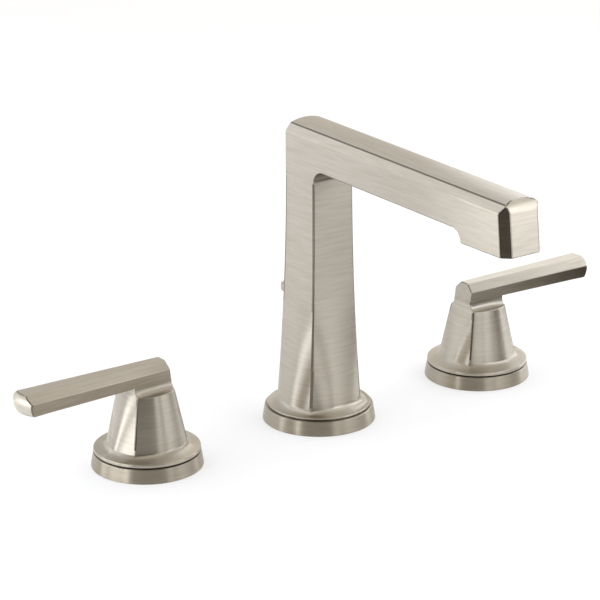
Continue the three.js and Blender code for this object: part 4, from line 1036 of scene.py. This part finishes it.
def finish_spout(obj):
    """Brushed round the column and along the arm, with painted shade: dark nickel on the edges and
    inside the arch.
    """
    finishes = put_finishes(obj, (turned_nickel, arm_nickel, edge_painted_shade_nickel))
    arm_front = -TIP_REACH + TIP_FILLET
    arm_rear = -COLUMN_FRONT_TOP - BORDER
    arch_front = COLUMN_FRONT_TOP + CORNER_FILLET
    half_arch = CORNER_FILLET / 2
    column_bottom = FOOT_HEIGHT + EDGE_START
    for face in obj.data.polygons:
        centre = face.center / MM
        normal = face.normal
        in_arm = centre.z > COLUMN_TOP and arm_front < centre.y < arm_rear
        ridge = ARM_LOWER_RIDGE + droop(-centre.y)
        bright_ridge = in_arm and abs(centre.z - ridge) < RIDGE_REACH and normal.z > 0
        plain = bright_ridge or normal.y < FRONT_TURN or centre.z <= column_bottom
        arch_height = abs(centre.z - COLUMN_TOP - half_arch) < CORNER_FILLET
        in_painted_arch_shade = normal.z < ARCH_TURN and centre.y + arch_front > 0 and arch_height
        finish = turned_nickel
        # Painted shade: dark nickel on the strips of rounded edges and inside the arch under the arm.
        if in_painted_arch_shade or not plain and is_narrow(obj, face):
            finish = edge_painted_shade_nickel
        elif in_arm:
            finish = arm_nickel
        face.material_index = finishes.index(finish)
    return obj


# The pieces

def place(obj, node, body, material=None):
    if material is not None:
        obj.data.materials.clear()
        obj.data.materials.append(material)
    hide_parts(node)
    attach(obj, body)


place(finish_spout(spout_object("spout")), "spout_body", "fixed_body")
# The base rings get the darker copy of the nickel, painted shade.
place(spout_ring_object("spout_ring"), "spout_base_ring", "fixed_body", material=ring_painted_shade_nickel)
place(knob_object("pull_knob"), "lift_rod_knob", "lift_rod_body", material=turned_nickel)
for prefix, side in (("right", 1), ("left", -1)):
    body = f"{prefix}_handle_body"
    place(finish_handle(handle_object(f"{prefix}_lever_handle", side)), f"{prefix}_handle", body)
    ring = handle_ring_object(f"{prefix}_ring", side)
    place(ring, f"{prefix}_base_ring", "fixed_body", material=ring_painted_shade_nickel)
    glide = glide_ring_object(f"{prefix}_glide", side)
    place(glide, f"{prefix}_glide_ring", "fixed_body", black_nylon)
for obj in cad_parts.values():
    slot = obj.data.materials[0].name
    obj.data.materials.clear()
    obj.data.materials.append(SLOT_MATERIALS[slot])


# Camera. Azimuth 0 looks along +Y, and the photo was taken from the front left, a little above.

CAMERA_PLACE = (-750.4, -1013.3, 498.3)
CAMERA_AZIMUTH = -36.104
CAMERA_ELEVATION = 19.126
CAMERA_ROLL = -0.213
CAMERA_LENS = 163.49
SENSOR = 36.0
CAMERA_CLIP_END = 100000


def make_camera():
    azimuth, elevation, roll = (math.radians(a) for a in (CAMERA_AZIMUTH, CAMERA_ELEVATION, CAMERA_ROLL))
    back = Vector((
        math.sin(azimuth) * math.cos(elevation),
        -math.cos(azimuth) * math.cos(elevation),
        math.sin(elevation),
    ))
    level = Vector((math.cos(azimuth), math.sin(azimuth), 0))
    upright = back.cross(level)
    right = level * math.cos(roll) + upright * math.sin(roll)
    up = upright * math.cos(roll) - level * math.sin(roll)
    data = bpy.data.cameras.new("camera")
    data.lens = CAMERA_LENS
    data.sensor_width = SENSOR
    data.clip_end = CAMERA_CLIP_END * MM
    camera = bpy.data.objects.new("camera", data)
    bpy.context.scene.collection.objects.link(camera)
    turn = Matrix((right, up, back)).transposed().to_4x4()
    camera.matrix_world = Matrix.Translation(Vector(CAMERA_PLACE) * MM) @ turn
    bpy.context.scene.camera = camera


# Studio

def studio_point(right, towards, height):
    """A place given by millimetres to the right of the spout, towards the camera, and up."""
    azimuth = math.radians(CAMERA_AZIMUTH)
    level = Vector((math.cos(azimuth), math.sin(azimuth), 0))
    nearer = Vector((math.sin(azimuth), -math.cos(azimuth), 0))
    return (level * right + nearer * towards + Vector((0, 0, height))) * MM


def seen_directly(nodes):
    """1 for camera, glossy and transmission rays, so metal shows the same white that the camera sees."""
    links = nodes.id_data.links
    path = nodes.new("ShaderNodeLightPath")
    first = nodes.new("ShaderNodeMath")
    first.operation = "MAXIMUM"
    links.new(path.outputs["Is Camera Ray"], first.inputs[0])
    links.new(path.outputs["Is Glossy Ray"], first.inputs[1])
    second = nodes.new("ShaderNodeMath")
    second.operation = "MAXIMUM"
    links.new(first.outputs["Value"], second.inputs[0])
    links.new(path.outputs["Is Transmission Ray"], second.inputs[1])
    return second.outputs["Value"]


WORLD_LEVEL = 0.9
WORLD_COLOUR = (1.04, 1.0, 0.93)
FLOOR_REACH = 4000
FLOOR_COLOUR = 0.5
FLOOR_ROUGHNESS = 0.9
FLOOR_WHITE = (1.0, 1.0, 1.01)
# The floor glows a little more towards the camera, between these two distances from the spout.
FAR_FLOOR_GLOW = 0.52
NEAR_FLOOR_GLOW = 0.62
NEAR_FLOOR_START = -60
NEAR_FLOOR_END = 220


def make_world():
    world = bpy.data.worlds.new("studio")
    bpy.context.scene.world = world
    world.use_nodes = True
    background = world.node_tree.nodes["Background"]
    background.inputs["Color"].default_value = (*WORLD_COLOUR, 1)
    background.inputs["Strength"].default_value = WORLD_LEVEL


def make_floor():
    far = FLOOR_REACH
    corners = [(-far, -far, 0), (far, -far, 0), (far, far, 0), (-far, far, 0)]
    floor = new_object("floor", corners, [(0, 1, 2, 3)])
    material, nodes, links, shader = new_material("white_floor")
    shader.inputs["Base Color"].default_value = (FLOOR_COLOUR, FLOOR_COLOUR, FLOOR_COLOUR, 1)
    shader.inputs["Roughness"].default_value = FLOOR_ROUGHNESS
    shader.inputs["Specular IOR Level"].default_value = 0.0
    white = nodes.new("ShaderNodeEmission")
    white.inputs["Color"].default_value = (*FLOOR_WHITE, 1)
    both = nodes.new("ShaderNodeAddShader")
    share = nodes.new("ShaderNodeMath")
    share.operation = "MULTIPLY"
    coordinates = nodes.new("ShaderNodeTexCoord")
    distance = nodes.new("ShaderNodeVectorMath")
    distance.operation = "DOT_PRODUCT"
    towards_camera = studio_point(0, 1 / MM, 0)
    distance.inputs[1].default_value = towards_camera
    level = nodes.new("ShaderNodeMapRange")
    level.interpolation_type = "SMOOTHSTEP"
    level.inputs["From Min"].default_value = NEAR_FLOOR_START * MM
    level.inputs["From Max"].default_value = NEAR_FLOOR_END * MM
    level.inputs["To Min"].default_value = FAR_FLOOR_GLOW
    level.inputs["To Max"].default_value = NEAR_FLOOR_GLOW
    links.new(coordinates.outputs["Object"], distance.inputs[0])
    links.new(distance.outputs["Value"], level.inputs["Value"])
    links.new(level.outputs["Result"], share.inputs[1])
    links.new(seen_directly(nodes), share.inputs[0])
    links.new(share.outputs["Value"], white.inputs["Strength"])
    links.new(shader.outputs["BSDF"], both.inputs[0])
    links.new(white.outputs["Emission"], both.inputs[1])
    links.new(both.outputs["Shader"], nodes["Material Output"].inputs["Surface"])
    floor.data.materials.append(material)


COOL_WHITE = (0.96, 1.0, 1.07)
WARM_GREY = (1.0, 0.87, 0.68)
# Cards at this level or below are warm grey, and the brighter ones are cool white.
DARK = 0.3
LEFT = -270
RIGHT = 330
FRONT = 340
FLOOR_CARD_HEIGHT = 2


def card(name, start, end, width, level, flat=False):
    """A plain glowing card that the camera doesn't see. A flat one shows in reflections alone."""
    first = studio_point(*start)
    run = studio_point(*end) - first
    length = run.length / MM
    corners = [(0, 0, 0), (length, 0, 0), (length, width, 0), (0, width, 0)]
    obj = new_object(name, corners, [(0, 1, 2, 3)])
    along_card = run.normalized()
    across_card = Vector((0, 0, 1)).cross(along_card) if flat else Vector((0, 0, 1))
    turn = Matrix((along_card, across_card, along_card.cross(across_card))).transposed().to_4x4()
    obj.matrix_world = Matrix.Translation(first) @ turn
    material, nodes, links, _ = new_material(name)
    glow = nodes.new("ShaderNodeEmission")
    glow.inputs["Color"].default_value = (*(COOL_WHITE if level > DARK else WARM_GREY), 1)
    glow.inputs["Strength"].default_value = level
    links.new(glow.outputs["Emission"], nodes["Material Output"].inputs["Surface"])
    obj.data.materials.append(material)
    obj.visible_camera = False
    obj.visible_diffuse = not flat
    obj.visible_shadow = not flat


# Upright cards: name, start and end (right and towards the camera), bottom, top and level.
UPRIGHT_CARDS = (
    ("left_far", (LEFT, -900), (LEFT, -200), 0, 700, 0.95),
    ("left_near_low", (LEFT, -200), (LEFT, -5), 0, 80, 1.0),
    ("left_near_high", (LEFT, -200), (LEFT, -5), 80, 450, 1.55),
    ("left_grey", (LEFT, -5), (LEFT, 38), 0, 450, 0.6),
    ("left_tip", (LEFT, 38), (LEFT, 72), 0, 450, 4.0),
    ("left_hub", (LEFT, 72), (LEFT, 120), 0, 80, 1.6),
    ("left_front_low", (LEFT, 120), (LEFT, 262), 0, 80, 3.5),
    ("left_front_high", (LEFT, 72), (LEFT, 200), 80, 400, 0.9),
    ("left_corner", (LEFT, 262), (LEFT, 325), 0, 350, 4.8),
    ("dark_corner", (LEFT, 200), (LEFT, 262), 80, 600, 0.05),
    ("dark_front", (LEFT, FRONT), (180, FRONT), 0, 600, 0.06),
    ("right_front_low", (180, FRONT), (RIGHT, FRONT), 0, 80, 1.7),
    ("right_front_high", (180, FRONT), (RIGHT, FRONT), 80, 350, 1.1),
    ("right_foot", (RIGHT, FRONT), (RIGHT, 170), 0, 90, 0.1),
    ("right_corner", (RIGHT, FRONT), (RIGHT, 240), 90, 350, 0.7),
    ("right_tip", (RIGHT, 240), (RIGHT, 170), 90, 350, 3.3),
    ("right_near_low", (RIGHT, 170), (RIGHT, 60), 0, 80, 0.2),
    ("right_near_high", (RIGHT, 170), (RIGHT, 60), 80, 350, 2.5),
    ("grey_right", (RIGHT, 60), (RIGHT, 10), 0, 150, 0.7),
    ("dark_right", (RIGHT, 10), (RIGHT, -112), 0, 150, 0.1),
    ("right_mid_high", (RIGHT, 60), (RIGHT, -112), 150, 350, 1.4),
    ("right_far", (RIGHT, -112), (RIGHT, -500), 0, 350, 2.6),
    ("back_right", (110, -500), (300, -500), 220, 600, 2.6),
)
# Flat cards: name, start and end (right, towards and up), width and level.
FLAT_CARDS = (
    ("floor_front", (175, 225, FLOOR_CARD_HEIGHT), (LEFT, 225, FLOOR_CARD_HEIGHT), 115, 0.06),
    ("floor_right", (175, -250, FLOOR_CARD_HEIGHT), (175, FRONT, FLOOR_CARD_HEIGHT), 155, 0.08),
    ("floor_left", (-145, 225, FLOOR_CARD_HEIGHT), (-200, -300, FLOOR_CARD_HEIGHT), 70, 1.7),
    ("overhead", (-350, -150, 600), (400, -150, 600), 400, 1.0),
)


def make_studio():
    for name, start, end, bottom, top, level in UPRIGHT_CARDS:
        card(name, (*start, bottom), (*end, bottom), top - bottom, level)
    for name, start, end, width, level in FLAT_CARDS:
        card(name, start, end, width, level, flat=True)


bpy.context.scene.view_settings.view_transform = "Standard"
make_camera()
make_world()
make_floor()
make_studio()
